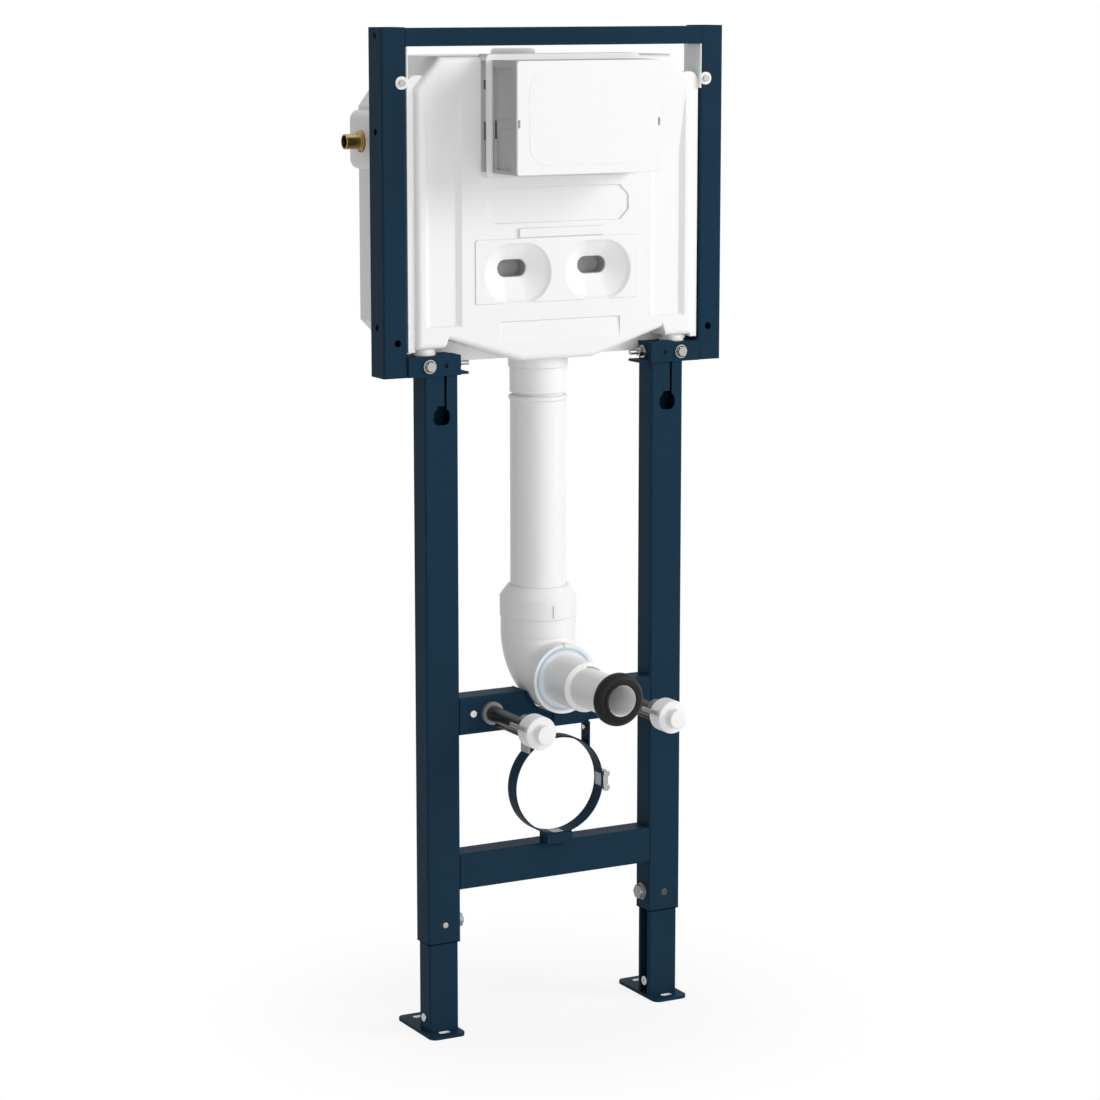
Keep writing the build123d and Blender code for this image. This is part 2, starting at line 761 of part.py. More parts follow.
# Cistern: one hollow moulding with softened front edges
with BuildPart() as cistern:
    extrude(front_outline(0, 0), amount=-step_depth)
    front_edges = cistern.faces().sort_by(Axis.Y)[0].edges()
    fillet([edge for edge in front_edges if edge.length > 2 * tank_round], tank_round)
    extrude(rear_outline(step_depth, 0), amount=step_depth - tank_depth)
    for sign in (-1, 1):
        with BuildSketch(tank_plane(ear_depth)):
            with Locations((sign * (ear_half_width - ear_width / 2), (ear_top + ear_bottom) / 2)):
                RectangleRounded(ear_width, ear_top - ear_bottom, ear_round)
            with Locations((sign * (ear_half_width - ear_foot_width / 2), ear_foot_bottom + ear_width / 2)):
                Rectangle(ear_foot_width, ear_width)
        extrude(amount=ear_depth - step_depth)
    with BuildSketch(tank_plane(bulge_depth)):
        with Locations((2 * bulge_radius - bulge_half_width, (bulge_bottom + bulge_top) / 2)):
            RectangleRounded(4 * bulge_radius, bulge_top - bulge_bottom, bulge_radius)
    extrude(amount=bulge_depth - tank_depth)
    with BuildSketch(tank_plane(neck_root)):
        with Locations((0, (neck_top + neck_bottom) / 2)):
            RectangleRounded(2 * neck_half_width, neck_top - neck_bottom, neck_round)
    extrude(amount=neck_root + neck_stand)
    with BuildSketch(tank_plane(0)):
        with Locations((0, (panel_top + panel_bottom) / 2)):
            RectangleRounded(2 * panel_half_width, panel_top - panel_bottom, panel_round)
    extrude(amount=panel_stand)
    extrude(field(0, bar_left, bar_right, bar_bottom, bar_top), amount=bar_stand)
    # The hollow, then the walls of the recesses inside it
    extrude(front_outline(tank_wall, tank_wall), amount=-step_depth, mode=Mode.SUBTRACT)
    extrude(rear_outline(step_depth + tank_wall, tank_wall),
            amount=step_depth + 2 * tank_wall - tank_depth, mode=Mode.SUBTRACT)
    for sign in (-1, 1):
        add(pocket(sign, recess_wall))
        add(funnel(sign, recess_wall, tank_wall / 2))
    for sign in (-1, 1):
        add(pocket(sign, 0), mode=Mode.SUBTRACT)
        add(funnel(sign, 0, -panel_stand), mode=Mode.SUBTRACT)
    # Bare eight-sided field, and the shallow scoop above the vee
    with BuildSketch(tank_plane(0)) as label_field:
        with Locations((0, (label_bottom + label_top) / 2)):
            Rectangle(2 * label_half_width, label_top - label_bottom)
        chamfer(label_field.vertices(), length=label_corner)
    extrude(amount=-label_depth, mode=Mode.SUBTRACT)
    with BuildSketch(Plane.YZ.offset(scoop_left)):
        with BuildLine():
            Polyline(
                (tank_front_y, tank_bottom_z + scoop_bottom),
                (tank_front_y, tank_bottom_z + scoop_top),
                (tank_front_y + scoop_depth, tank_bottom_z + scoop_top),
                close=True,
            )
        make_face()
    extrude(amount=scoop_right - scoop_left, mode=Mode.SUBTRACT)
    # The access opening and the outlet
    opening_x = box_half_width - box_wall
    extrude(field(-neck_stand, -opening_x, opening_x, box_bottom + box_wall, box_top - box_wall),
            amount=-(neck_stand + 2 * tank_wall), mode=Mode.SUBTRACT)
    with BuildSketch(Plane.XY.offset(tank_bottom_z)):
        with Locations((0, pipe_y)):
            Circle(outlet_bore_radius)
    extrude(amount=2 * tank_wall, mode=Mode.SUBTRACT)
write_piece(cistern, "cistern")

# Access box: four walls standing out of the neck, the side ones recessed within a border
box_centre_z = tank_bottom_z + (box_top + box_bottom) / 2
box_length = box_back_y - box_front_y
with BuildPart() as access_box:
    with BuildSketch(front_plane(box_back_y)):
        with Locations((0, box_centre_z)):
            Rectangle(2 * box_half_width, box_top - box_bottom)
            Rectangle(2 * opening_x, box_top - box_bottom - 2 * box_wall, mode=Mode.SUBTRACT)
    extrude(amount=box_length)
    for sign in (-1, 1):
        with BuildSketch(Plane.YZ.offset(sign * box_half_width)):
            with Locations((box_back_y - box_length / 2, box_centre_z)):
                Rectangle(box_length - 2 * box_border, box_top - box_bottom - 2 * box_border)
        extrude(amount=-sign * box_recess, mode=Mode.SUBTRACT)
write_piece(access_box, "access_box")

with BuildPart() as access_lid:
    with BuildSketch(front_plane(box_front_y)):
        with Locations((0, box_centre_z)):
            RectangleRounded(2 * box_half_width, box_top - box_bottom, lid_radius)
        for sign in (-1, 1):
            with Locations((sign * (box_half_width - lid_notch_inset), tank_bottom_z + lid_notch_place)):
                Rectangle(lid_notch_width, lid_notch_height, mode=Mode.SUBTRACT)
    extrude(amount=lid_thickness)
write_piece(access_lid, "access_lid")

# Air cap on top of the cistern
with BuildPart() as air_cap:
    with BuildSketch(Plane.XY.offset(tank_top_z)):
        with Locations((dome_x, tank_front_y + dome_depth)):
            Circle(dome_radius)
    extrude(amount=dome_height)
    fillet(air_cap.edges().group_by(Axis.Z)[-1], dome_round)
write_piece(air_cap, "air_cap")

# Filling inlet on the left: gasket ring against the bulge, then a flanged brass tube
with BuildPart() as inlet_gasket:
    with BuildSketch(Plane.YZ.offset(-bulge_half_width)):
        with Locations((inlet_y, inlet_z)):
            Circle(gasket_radius)
            Circle(inlet_radius + piece_gap, mode=Mode.SUBTRACT)
    extrude(amount=-gasket_height)
write_piece(inlet_gasket, "inlet_gasket")

with BuildPart() as inlet_union:
    with BuildSketch(Plane.YZ.offset(-bulge_half_width - gasket_height)):
        with Locations((inlet_y, inlet_z)):
            Circle(inlet_flange_radius)
            Circle(inlet_bore, mode=Mode.SUBTRACT)
    extrude(amount=-inlet_flange_height)
    with BuildSketch(Plane.YZ.offset(-bulge_half_width)):
        with Locations((inlet_y, inlet_z)):
            Circle(inlet_radius)
            Circle(inlet_bore, mode=Mode.SUBTRACT)
    extrude(amount=-gasket_height - inlet_flange_height - inlet_length)
write_piece(inlet_union, "inlet_union")

# Outlet nut under the cistern: a rounded collar, the socket below it and a short neck
with BuildPart() as outlet_nut:
    with BuildSketch(front_plane(pipe_y)) as nut_profile:
        with BuildLine():
            Polyline(
                (outlet_bore_radius, tank_bottom_z),
                (nut_collar_radius, tank_bottom_z),
                (nut_collar_radius, tank_bottom_z - nut_collar_height),
                (nut_socket_radius, tank_bottom_z - nut_collar_height),
                (nut_socket_radius, tank_bottom_z - nut_socket_height),
                (nut_neck_radius, tank_bottom_z - nut_socket_height),
                (nut_neck_radius, bead_top_z),
                (outlet_bore_radius, bead_top_z),
                close=True,
            )
        make_face()
    revolve(axis=Axis((0, pipe_y, 0), (0, 0, 1)))
write_piece(outlet_nut, "outlet_nut")

# Flush pipe: a straight tube with a rolled bead at its top
with BuildPart() as flush_pipe:
    with BuildSketch(front_plane(pipe_y)) as pipe_profile:
        with BuildLine():
            Polyline(
                (outlet_bore_radius, bead_top_z),
                (bead_radius, bead_top_z),
                (bead_radius, bead_bottom_z),
                (pipe_radius, bead_bottom_z),
                (pipe_radius, pipe_bottom_z),
                (pipe_radius - pipe_wall, pipe_bottom_z),
                (pipe_radius - pipe_wall, bead_bottom_z),
                (outlet_bore_radius, bead_bottom_z),
                close=True,
            )
        make_face()
        fillet(pipe_profile.vertices().sort_by(Axis.X)[-2:], bead_round)
    revolve(axis=Axis((0, pipe_y, 0), (0, 0, 1)))
write_piece(flush_pipe, "flush_pipe")

# Elbow: a socket that tapers up to the pipe, a bend, and a ringed mouth towards the pan


def bend(start_radius, end_radius):
    """Quarter bend that narrows from the vertical run to the mouth."""
    with BuildPart() as quarter:
        with BuildLine(Plane.YZ) as path:
            CenterArc((pipe_y - elbow_bend, outlet_z + elbow_bend), elbow_bend, 0, -90)
        with BuildSketch(Plane(path.line @ 0, z_dir=path.line % 0)):
            Circle(start_radius)
        with BuildSketch(Plane(path.line @ 1, z_dir=path.line % 1)):
            Circle(end_radius)
        sweep(multisection=True)
    return quarter.part


bend_front_y = pipe_y - elbow_bend
bend_top_z = outlet_z + elbow_bend
collar_bottom_z = outlet_z + elbow_collar_rise
collar_top_z = collar_bottom_z + elbow_collar_height
taper_top_z = collar_top_z + elbow_taper_height
outer_bend = bend(elbow_radius, elbow_mouth_radius)
inner_bend = bend(elbow_radius - elbow_wall, elbow_mouth_radius - elbow_wall)
with BuildPart() as flush_elbow:
    with BuildSketch(front_plane(pipe_y)):
        with BuildLine():
            Polyline(
                (0, taper_top_z),
                (pipe_radius + elbow_wall, taper_top_z),
                (elbow_collar_radius, collar_top_z),
                (elbow_collar_radius, collar_bottom_z),
                (elbow_radius, collar_bottom_z),
                (elbow_radius, bend_top_z),
                (0, bend_top_z),
                close=True,
            )
        make_face()
    revolve(axis=Axis((0, pipe_y, 0), (0, 0, 1)))
    add(outer_bend)
    with BuildSketch(front_plane(bend_front_y)):
        with Locations((0, outlet_z)):
            Circle(elbow_mouth_radius)
    extrude(amount=bend_front_y - elbow_mouth_y)
    with BuildSketch(front_plane(elbow_mouth_y)):
        with Locations((0, outlet_z)):
            Circle(elbow_ring_radius)
    extrude(amount=-elbow_ring_length)
    # Inside: the pipe's seat, the bend and the mouth
    with BuildSketch(Plane.XY.offset(pipe_bottom_z)):
        with Locations((0, pipe_y)):
            Circle(pipe_radius + piece_gap)
    extrude(amount=taper_top_z - pipe_bottom_z, mode=Mode.SUBTRACT)
    with BuildSketch(Plane.XY.offset(bend_top_z)):
        with Locations((0, pipe_y)):
            Circle(pipe_radius - pipe_wall)
    extrude(amount=pipe_bottom_z - bend_top_z, mode=Mode.SUBTRACT)
    add(inner_bend, mode=Mode.SUBTRACT)
    with BuildSketch(front_plane(bend_front_y)):
        with Locations((0, outlet_z)):
            Circle(elbow_mouth_radius - elbow_wall)
    extrude(amount=bend_front_y - elbow_mouth_y, mode=Mode.SUBTRACT)
write_piece(flush_elbow, "flush_elbow")

# Lip seal in the elbow's mouth, the stepped connector, and the rubber ring at its end
with BuildPart() as elbow_seal:
    with BuildSketch(front_plane(elbow_mouth_y)):
        with Locations((0, outlet_z)):
            Circle(elbow_mouth_radius - elbow_wall)
            Circle(connector_first_radius, mode=Mode.SUBTRACT)
    extrude(amount=-elbow_seal_length)
write_piece(elbow_seal, "elbow_seal")

tail_y = elbow_mouth_y + connector_tail
shoulder_y = connector_first_y - connector_shoulder
with BuildPart() as flush_connector:
    with BuildSketch(Plane.YZ):
        with BuildLine():
            Polyline(
                (tail_y, outlet_z + connector_first_radius),
                (connector_first_y, outlet_z + connector_first_radius),
                (shoulder_y, outlet_z + connector_radius),
                (connector_front_y, outlet_z + connector_radius),
                (connector_front_y, outlet_z + spigot_radius),
                (spigot_front_y, outlet_z + spigot_radius),
                (spigot_front_y, outlet_z + spigot_bore),
                (connector_front_y, outlet_z + spigot_bore),
                (shoulder_y, outlet_z + connector_radius - connector_wall),
                (connector_first_y, outlet_z + connector_first_radius - connector_wall),
                (tail_y, outlet_z + connector_first_radius - connector_wall),
                close=True,
            )
        make_face()
    revolve(axis=Axis((0, 0, outlet_z), (0, 1, 0)))
write_piece(flush_connector, "flush_connector")

ring_back_y = ring_front_y + ring_seal_length
with BuildPart() as outlet_seal:
    with BuildSketch(Plane.YZ) as ring_profile:
        with BuildLine():
            Polyline(
                (ring_front_y, outlet_z + spigot_radius),
                (ring_front_y, outlet_z + ring_seal_radius),
                (ring_back_y, outlet_z + ring_seal_radius),
                (ring_back_y, outlet_z + connector_radius),
                (connector_front_y, outlet_z + connector_radius),
                (connector_front_y, outlet_z + spigot_radius),
                close=True,
            )
        make_face()
        fillet(ring_profile.vertices().sort_by(Axis.Y)[-2:], ring_seal_round)
    revolve(axis=Axis((0, 0, outlet_z), (0, 1, 0)))
write_piece(outlet_seal, "outlet_seal")

# Waste hoop with its screw box, its hangers and its foot
with BuildPart() as waste_hoop:
    with BuildSketch(front_plane(hoop_centre_y)):
        with Locations((0, hoop_height)):
            Circle(hoop_radius)
            Circle(hoop_bore_radius, mode=Mode.SUBTRACT)
    extrude(amount=hoop_width / 2, both=True)
    with BuildSketch(front_plane(hoop_centre_y)):
        with Locations((hoop_radius + screw_box_width / 2 - hoop_thickness / 2, hoop_height)):
            Rectangle(screw_box_width, screw_box_length)
    extrude(amount=hoop_width / 2 - screw_box_margin, both=True)
write_piece(waste_hoop, "waste_hoop")

hanger_bottom_z = hoop_height + sqrt(hoop_radius ** 2 - (hanger_x - hanger_plate / 2) ** 2) - hoop_thickness
hoop_bottom_z = hoop_height - hoop_radius
hook_x = hoop_foot_length / 2 - hoop_foot_plate / 2
with BuildPart() as hoop_brackets:
    with BuildSketch(front_plane(hoop_centre_y)):
        for sign in (-1, 1):
            with Locations((sign * hanger_x, (mid_rail_bottom_z + hanger_bottom_z) / 2)):
                Rectangle(hanger_plate, mid_rail_bottom_z - hanger_bottom_z)
            with Locations((sign * hook_x, lower_rail_top_z + hoop_foot_hook / 2)):
                Rectangle(hoop_foot_plate, hoop_foot_hook)
        with Locations((0, lower_rail_top_z + hoop_foot_plate / 2)):
            Rectangle(hoop_foot_length, hoop_foot_plate)
        with Locations((0, (lower_rail_top_z + hoop_bottom_z + hoop_thickness) / 2)):
            Rectangle(hoop_foot_post, hoop_bottom_z + hoop_thickness - lower_rail_top_z)
        with Locations((0, hoop_height)):
            Circle(hoop_radius, mode=Mode.SUBTRACT)
    extrude(amount=hoop_width / 2, both=True)
    with BuildSketch(front_plane(hoop_centre_y - hoop_width / 2)):
        with Locations((0, lower_rail_top_z + hoop_foot_front / 2)):
            Rectangle(hoop_foot_length, hoop_foot_front)
    extrude(amount=hoop_foot_plate)
write_piece(hoop_brackets, "hoop_brackets")

# Saddle that lines the notch under the elbow, with a plate over the rail's front and a lip below
saddle_front_y = leg_front_y - saddle_front_plate
saddle_middle_x = (saddle_front_left + saddle_front_right) / 2
saddle_lip_x = (saddle_front_left + saddle_lip_right) / 2
with BuildPart() as elbow_saddle:
    with BuildSketch(front_plane(saddle_front_y)):
        with Locations((0, outlet_z)):
            Circle(notch_radius)
            Circle(notch_radius - saddle_plate, mode=Mode.SUBTRACT)
        with Locations((0, mid_rail_top_z + notch_radius)):
            Rectangle(3 * notch_radius, 2 * notch_radius, mode=Mode.SUBTRACT)
    extrude(amount=-saddle_front_plate - leg_depth)
    with BuildSketch(front_plane(saddle_front_y)):
        with Locations((saddle_middle_x, mid_rail_bottom_z + saddle_front_height / 2)):
            Rectangle(saddle_front_right - saddle_front_left, saddle_front_height)
        with Locations((0, outlet_z)):
            Circle(notch_radius - saddle_plate, mode=Mode.SUBTRACT)
    extrude(amount=-saddle_front_plate)
    with BuildSketch(front_plane(saddle_front_y)):
        with Locations((saddle_lip_x, mid_rail_bottom_z - saddle_lip_plate / 2)):
            Rectangle(saddle_lip_right - saddle_front_left, saddle_lip_plate)
    extrude(amount=-saddle_lip_depth)
write_piece(elbow_saddle, "elbow_saddle")

# Pads under the cistern's feet, and the clips and screws that hold it to the posts
with BuildPart() as tank_pads:
    with BuildSketch(Plane.XY.offset(bracket_top_z)):
        for sign in (-1, 1):
            with Locations((sign * (tank_half_width - pad_inset), front_y + pad_setback)):
                Circle(pad_radius)
    extrude(amount=pad_height)
write_piece(tank_pads, "tank_pads")

clip_bottom_z = rail_bottom_z - clip_length
clip_tab_z = clip_bottom_z + clip_tab_rise
clip_inner_x = post_inner_x - clip_plate
for side, sign in sides:
    with BuildPart() as post_clip:
        with BuildSketch(Plane.YZ.offset(sign * clip_inner_x)):
            with Locations((front_y + (post_depth - clip_tab_plate) / 2, rail_bottom_z - clip_length / 2)):
                Rectangle(post_depth + clip_tab_plate, clip_length)
        extrude(amount=sign * clip_plate)
        with BuildSketch(front_plane(front_y)):
            with Locations((sign * (clip_inner_x + clip_tab_reach / 2), clip_tab_z)):
                RectangleRounded(clip_tab_reach, clip_tab_height, clip_tab_round)
        extrude(amount=clip_tab_plate)
    write_piece(post_clip, f"post_clip_{side}")

with BuildPart() as clip_screws:
    with BuildSketch(front_plane(front_y - clip_tab_plate)):
        for sign in (-1, 1):
            with Locations((sign * (clip_inner_x + clip_tab_reach / 2), clip_tab_z)):
                Circle(clip_screw_radius)
    extrude(amount=clip_screw_height)
write_piece(clip_screws, "clip_screws")
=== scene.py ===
import json
from math import cos, pi, radians, sin

import bmesh
import bpy
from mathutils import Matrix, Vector


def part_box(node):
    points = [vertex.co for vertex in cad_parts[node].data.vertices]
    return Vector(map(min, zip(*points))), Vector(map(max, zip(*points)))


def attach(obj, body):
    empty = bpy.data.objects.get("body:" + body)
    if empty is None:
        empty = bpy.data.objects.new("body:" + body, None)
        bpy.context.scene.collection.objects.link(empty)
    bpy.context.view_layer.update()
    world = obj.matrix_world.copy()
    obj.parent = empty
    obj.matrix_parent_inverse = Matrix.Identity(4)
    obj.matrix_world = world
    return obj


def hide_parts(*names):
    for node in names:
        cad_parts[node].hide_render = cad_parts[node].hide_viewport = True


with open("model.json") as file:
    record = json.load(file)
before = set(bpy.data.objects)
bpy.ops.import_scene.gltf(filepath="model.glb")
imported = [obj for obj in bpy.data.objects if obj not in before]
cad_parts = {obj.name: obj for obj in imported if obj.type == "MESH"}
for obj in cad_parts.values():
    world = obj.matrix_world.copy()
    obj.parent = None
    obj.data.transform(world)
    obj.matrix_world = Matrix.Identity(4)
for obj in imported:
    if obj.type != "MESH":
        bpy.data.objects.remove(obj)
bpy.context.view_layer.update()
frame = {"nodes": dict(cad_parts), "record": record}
nodes = frame["nodes"]
scene = bpy.context.scene

# Lengths are in metres and angles in degrees, unless a name says otherwise

# Camera at the photograph's viewing angle
camera_place = (-1.85286, -3.42317, 1.26489)
camera_yaw = 28.54
camera_pitch = 9.94
camera_focal_pixels = 3234.42
photo_pixels = 1100
sensor_width_mm = 36.0

# Lamps: name, place, target, width and height, watts
lamps = (
    ("key", (3.0, -2.4, 2.3), (0, 0, 0.7), (2.0, 2.0), 91),
    ("front", (-0.6, -4.0, 1.1), (0, 0, 0.7), (2.6, 2.6), 38),
    ("top", (0.0, 0.2, 3.6), (0, 0, 0), (2.5, 2.5), 16),
)

# World and floor: the floor glows by a share that grows to one between two distances
world_light = 0.38
floor_size = 30
floor_tone = 0.9
floor_glow = 0.84
floor_fade = (0.12, 0.46)

# Directions and sides
toward_front = Vector((0, -1, 0))
toward_back = Vector((0, 1, 0))
toward_left = Vector((-1, 0, 0))
sides = {"left": -1, "right": 1}

# Edges and facets
fine_round = 0.0008
lip_round = 0.0022
round_steps = 5
corner_steps = 12
turn_steps = 96
arc_degrees_per_step = 3
arc_fewest_steps = 3
sharp_angle = 32
bevel_angle = 30
bevel_profile = 0.5
weld_distance = 0.0000001

# Every look has clouds of two tones, a fine grain and softened edges
cloud_scale = 14
cloud_detail = 3
grain_detail = 2
grain_depth = 0.0002
roughness_spread = 0.06
bevel_samples = 6
metal_edge = 0.0003

# Waste hoop: a steel band that shows bare zinc in two windows, and its worm screw
band_thickness = 0.002
window_excess = 0.0003
window_turns = ((-8, 7), (-99, -84))
screw_radius = 0.0046
screw_housing = (0.0078, 0.011, 0.017)

# Access box: sunk side panels, and the opening's neck behind it
panel_sink = 0.0032
neck_half = 0.103
neck_reach = 0.014

# Marks on the sides of the neck, from the box's back and bottom. All are painted shade: grey on
# the neck's side (cheek), dark plates for its notch and slot, and a darker patch at the bottom
# (shade):
# name, near, far, bottom, top, how far it stands out, look
neck_marks = (
    ("cheek", 0.0012, 0.0128, 0.0012, 0.1300, 0.0003, "natural_plastic"),
    ("notch", 0.0012, 0.0060, 0.0972, 0.1080, 0.0006, "smoked_plastic_and_shade"),
    ("slot", 0.0012, 0.0058, 0.0386, 0.0600, 0.0006, "smoked_plastic_and_shade"),
    ("shade", 0.0012, 0.0056, 0.0030, 0.0380, 0.0006, "slot_shade"),
)

# Slots in the front of the cistern, from its middle, its bottom and its front
slot_offset = 0.0543
slot_height = 0.110
slot_half_length = 0.0195
slot_half_height = 0.0105
slot_start = 0.0175
slot_floor = 0.0358

# Flush elbow and connector
collar_radius = 0.0472
shoulder_front = -0.1115

# Floor slots in the foot plates, and the slits above the keyholes
slot_reach = 0.0075
slot_radius = 0.004
slot_spacing = 0.071
slit_offset = 0.005

# Front bolts of the brackets
bolt_place_x = 0.1715
bolt_height = 0.821
bolt_head = 0.004


def grey(tone):
    """Neutral colour of one tone."""
    return (tone, tone, tone)


looks = {
    "navy_paint": dict(colour=(0.0106, 0.0322, 0.0580), shade=(0.0126, 0.0362, 0.0640),
                       roughness=0.42, grain=700, bump=0.1, shine=0.02),
    "zinc_plate": dict(colour=(0.38, 0.38, 0.37), shade=(0.50, 0.50, 0.48),
                       roughness=0.28, grain=500, bump=0.1, metallic=1.0, edge=metal_edge),
    "black_plastic": dict(colour=grey(0.008), shade=grey(0.014),
                          roughness=0.4, grain=800, bump=0.1, shine=0.35),
    "white_plastic": dict(colour=grey(0.89), shade=grey(0.87),
                          roughness=0.42, grain=300, bump=0.1, edge=0.0014, shine=0.3),
    "natural_plastic": dict(colour=grey(0.47), shade=grey(0.43),
                            roughness=0.4, grain=300, bump=0.1, edge=0.0008, shine=0.3),
    "grey_plastic": dict(colour=grey(0.93), shade=grey(0.90),
                         roughness=0.35, grain=400, bump=0.08, edge=0.0010, shine=0.35),
    "black_rubber": dict(colour=grey(0.006), shade=grey(0.010),
                         roughness=0.48, grain=900, bump=0.15, shine=0.18),
    "blue_seal": dict(colour=(0.80, 0.83, 0.86), shade=(0.75, 0.79, 0.84),
                      roughness=0.3, grain=600, bump=0.08),
    "blue_lip": dict(colour=(0.46, 0.58, 0.69), shade=(0.52, 0.63, 0.73),
                     roughness=0.3, grain=600, bump=0.08),
    "grey_dark": dict(colour=(0.03, 0.03, 0.032), shade=(0.045, 0.045, 0.048),
                      roughness=0.45, grain=600, bump=0.1),
    "brass": dict(colour=(0.36, 0.26, 0.10), shade=(0.28, 0.20, 0.075),
                  roughness=0.3, grain=500, bump=0.12, metallic=1.0, edge=metal_edge),
    "slot_shade": dict(colour=grey(0.42), shade=grey(0.36),
                       roughness=0.5, grain=300, bump=0.1, shine=0.2),
    # Smoked plastic, also used as painted shade in holes and slots
    "smoked_plastic_and_shade": dict(colour=grey(0.10), shade=grey(0.07),
                           roughness=0.25, grain=600, bump=0.08),
    # Darker zinc: a duller finish, and painted shade on the left hanger's cover
    "dull_zinc_and_shade": dict(colour=(0.30, 0.31, 0.32), shade=(0.24, 0.25, 0.26),
                      roughness=0.45, grain=500, bump=0.1, metallic=0.6, edge=metal_edge),
    # Painted light: near-white zinc for the slot walls, where the white floor shows through
    "painted_light_zinc": dict(colour=(0.86, 0.86, 0.85), shade=(0.80, 0.80, 0.79),
                        roughness=0.4, grain=500, bump=0.1, metallic=0.2, edge=metal_edge),
    # Painted shade: near black for the shade in gaps and slits
    "painted_gap_shade": dict(colour=(0.0016, 0.0026, 0.0040), shade=(0.0012, 0.0020, 0.0030),
                      roughness=0.8, grain=600, bump=0.05, shine=0.0),
    "clear_plastic": dict(colour=grey(0.36), shade=grey(0.28),
                          roughness=0.25, grain=600, bump=0.08, clear=0.2),
}

# CAD pieces that look duller than the rest of their slot
special_looks = {
    "stud_left": "dull_zinc_and_shade",
    "stud_right": "dull_zinc_and_shade",
    "clamp_bolt_left": "dull_zinc_and_shade",
    "clamp_bolt_right": "dull_zinc_and_shade",
}


def add_camera():
    camera = bpy.data.cameras.new("camera")
    camera.sensor_width = sensor_width_mm
    camera.lens = camera_focal_pixels / photo_pixels * sensor_width_mm
    holder = bpy.data.objects.new("camera", camera)
    holder.location = camera_place
    holder.rotation_euler = (radians(90 - camera_pitch), 0, -radians(camera_yaw))
    scene.collection.objects.link(holder)
    scene.camera = holder


def add_area_light(name, place, target, size, power):
    light = bpy.data.lights.new(name, "AREA")
    light.shape = "RECTANGLE"
    light.size, light.size_y = size
    light.energy = power
    holder = bpy.data.objects.new(name, light)
    holder.location = place
    aim = Vector(target) - Vector(place)
    holder.rotation_euler = aim.to_track_quat("-Z", "Y").to_euler()
    scene.collection.objects.link(holder)


def new_material(name):
    material = bpy.data.materials.new(name)
    material.use_nodes = True
    tree = material.node_tree
    return material, tree, tree.nodes["Principled BSDF"]


def add_math(tree, operation, first, second):
    """Math node that joins two sockets."""
    result = tree.nodes.new("ShaderNodeMath")
    result.operation = operation
    tree.links.new(first, result.inputs[0])
    tree.links.new(second, result.inputs[1])
    return result.outputs[0]


def add_noise(tree, place, scale, detail):
    """Noise over the object's own coordinates."""
    noise = tree.nodes.new("ShaderNodeTexNoise")
    noise.inputs["Scale"].default_value = scale
    noise.inputs["Detail"].default_value = detail
    tree.links.new(place.outputs["Object"], noise.inputs["Vector"])
    return noise.outputs["Fac"]


def pale_rays(tree):
    """One for the rays that show the background: camera, glossy and transmission rays."""
    path = tree.nodes.new("ShaderNodeLightPath")
    seen = add_math(tree, "MAXIMUM", path.outputs["Is Camera Ray"], path.outputs["Is Glossy Ray"])
    return add_math(tree, "MAXIMUM", seen, path.outputs["Is Transmission Ray"])


def add_world():
    """Plain white where it shows, and a softer white for the light that it gives."""
    world = bpy.data.worlds.new("studio")
    world.use_nodes = True
    scene.world = world
    tree = world.node_tree
    background = tree.nodes["Background"]
    background.inputs["Color"].default_value = (1, 1, 1, 1)
    level = tree.nodes.new("ShaderNodeMapRange")
    level.inputs["To Min"].default_value = world_light
    level.inputs["To Max"].default_value = 1.0
    tree.links.new(pale_rays(tree), level.inputs["Value"])
    tree.links.new(level.outputs["Result"], background.inputs["Strength"])


def add_floor():
    """White floor that fades into the background away from the feet."""
    bpy.ops.mesh.primitive_plane_add(size=floor_size)
    floor = bpy.context.object
    floor.name = "floor"
    material, tree, shader = new_material("floor")
    shader.inputs["Base Color"].default_value = (*grey(floor_tone), 1)
    shader.inputs["Roughness"].default_value = 1.0
    shader.inputs["Specular IOR Level"].default_value = 0.0
    glow = tree.nodes.new("ShaderNodeEmission")
    place = tree.nodes.new("ShaderNodeTexCoord")
    distance = tree.nodes.new("ShaderNodeVectorMath")
    distance.operation = "LENGTH"
    share = tree.nodes.new("ShaderNodeMapRange")
    share.interpolation_type = "SMOOTHSTEP"
    share.inputs["From Min"].default_value = floor_fade[0]
    share.inputs["From Max"].default_value = floor_fade[1]
    share.inputs["To Min"].default_value = floor_glow
    share.inputs["To Max"].default_value = 1.0
    mix = tree.nodes.new("ShaderNodeMixShader")
    amount = add_math(tree, "MULTIPLY", pale_rays(tree), share.outputs["Result"])
    tree.links.new(place.outputs["Object"], distance.inputs[0])
    tree.links.new(distance.outputs["Value"], share.inputs["Value"])
    tree.links.new(amount, mix.inputs["Fac"])
    tree.links.new(shader.outputs["BSDF"], mix.inputs[1])
    tree.links.new(glow.outputs["Emission"], mix.inputs[2])
    tree.links.new(mix.outputs["Shader"], tree.nodes["Material Output"].inputs["Surface"])
    floor.data.materials.append(material)


def add_lights():
    for lamp in lamps:
        add_area_light(*lamp)


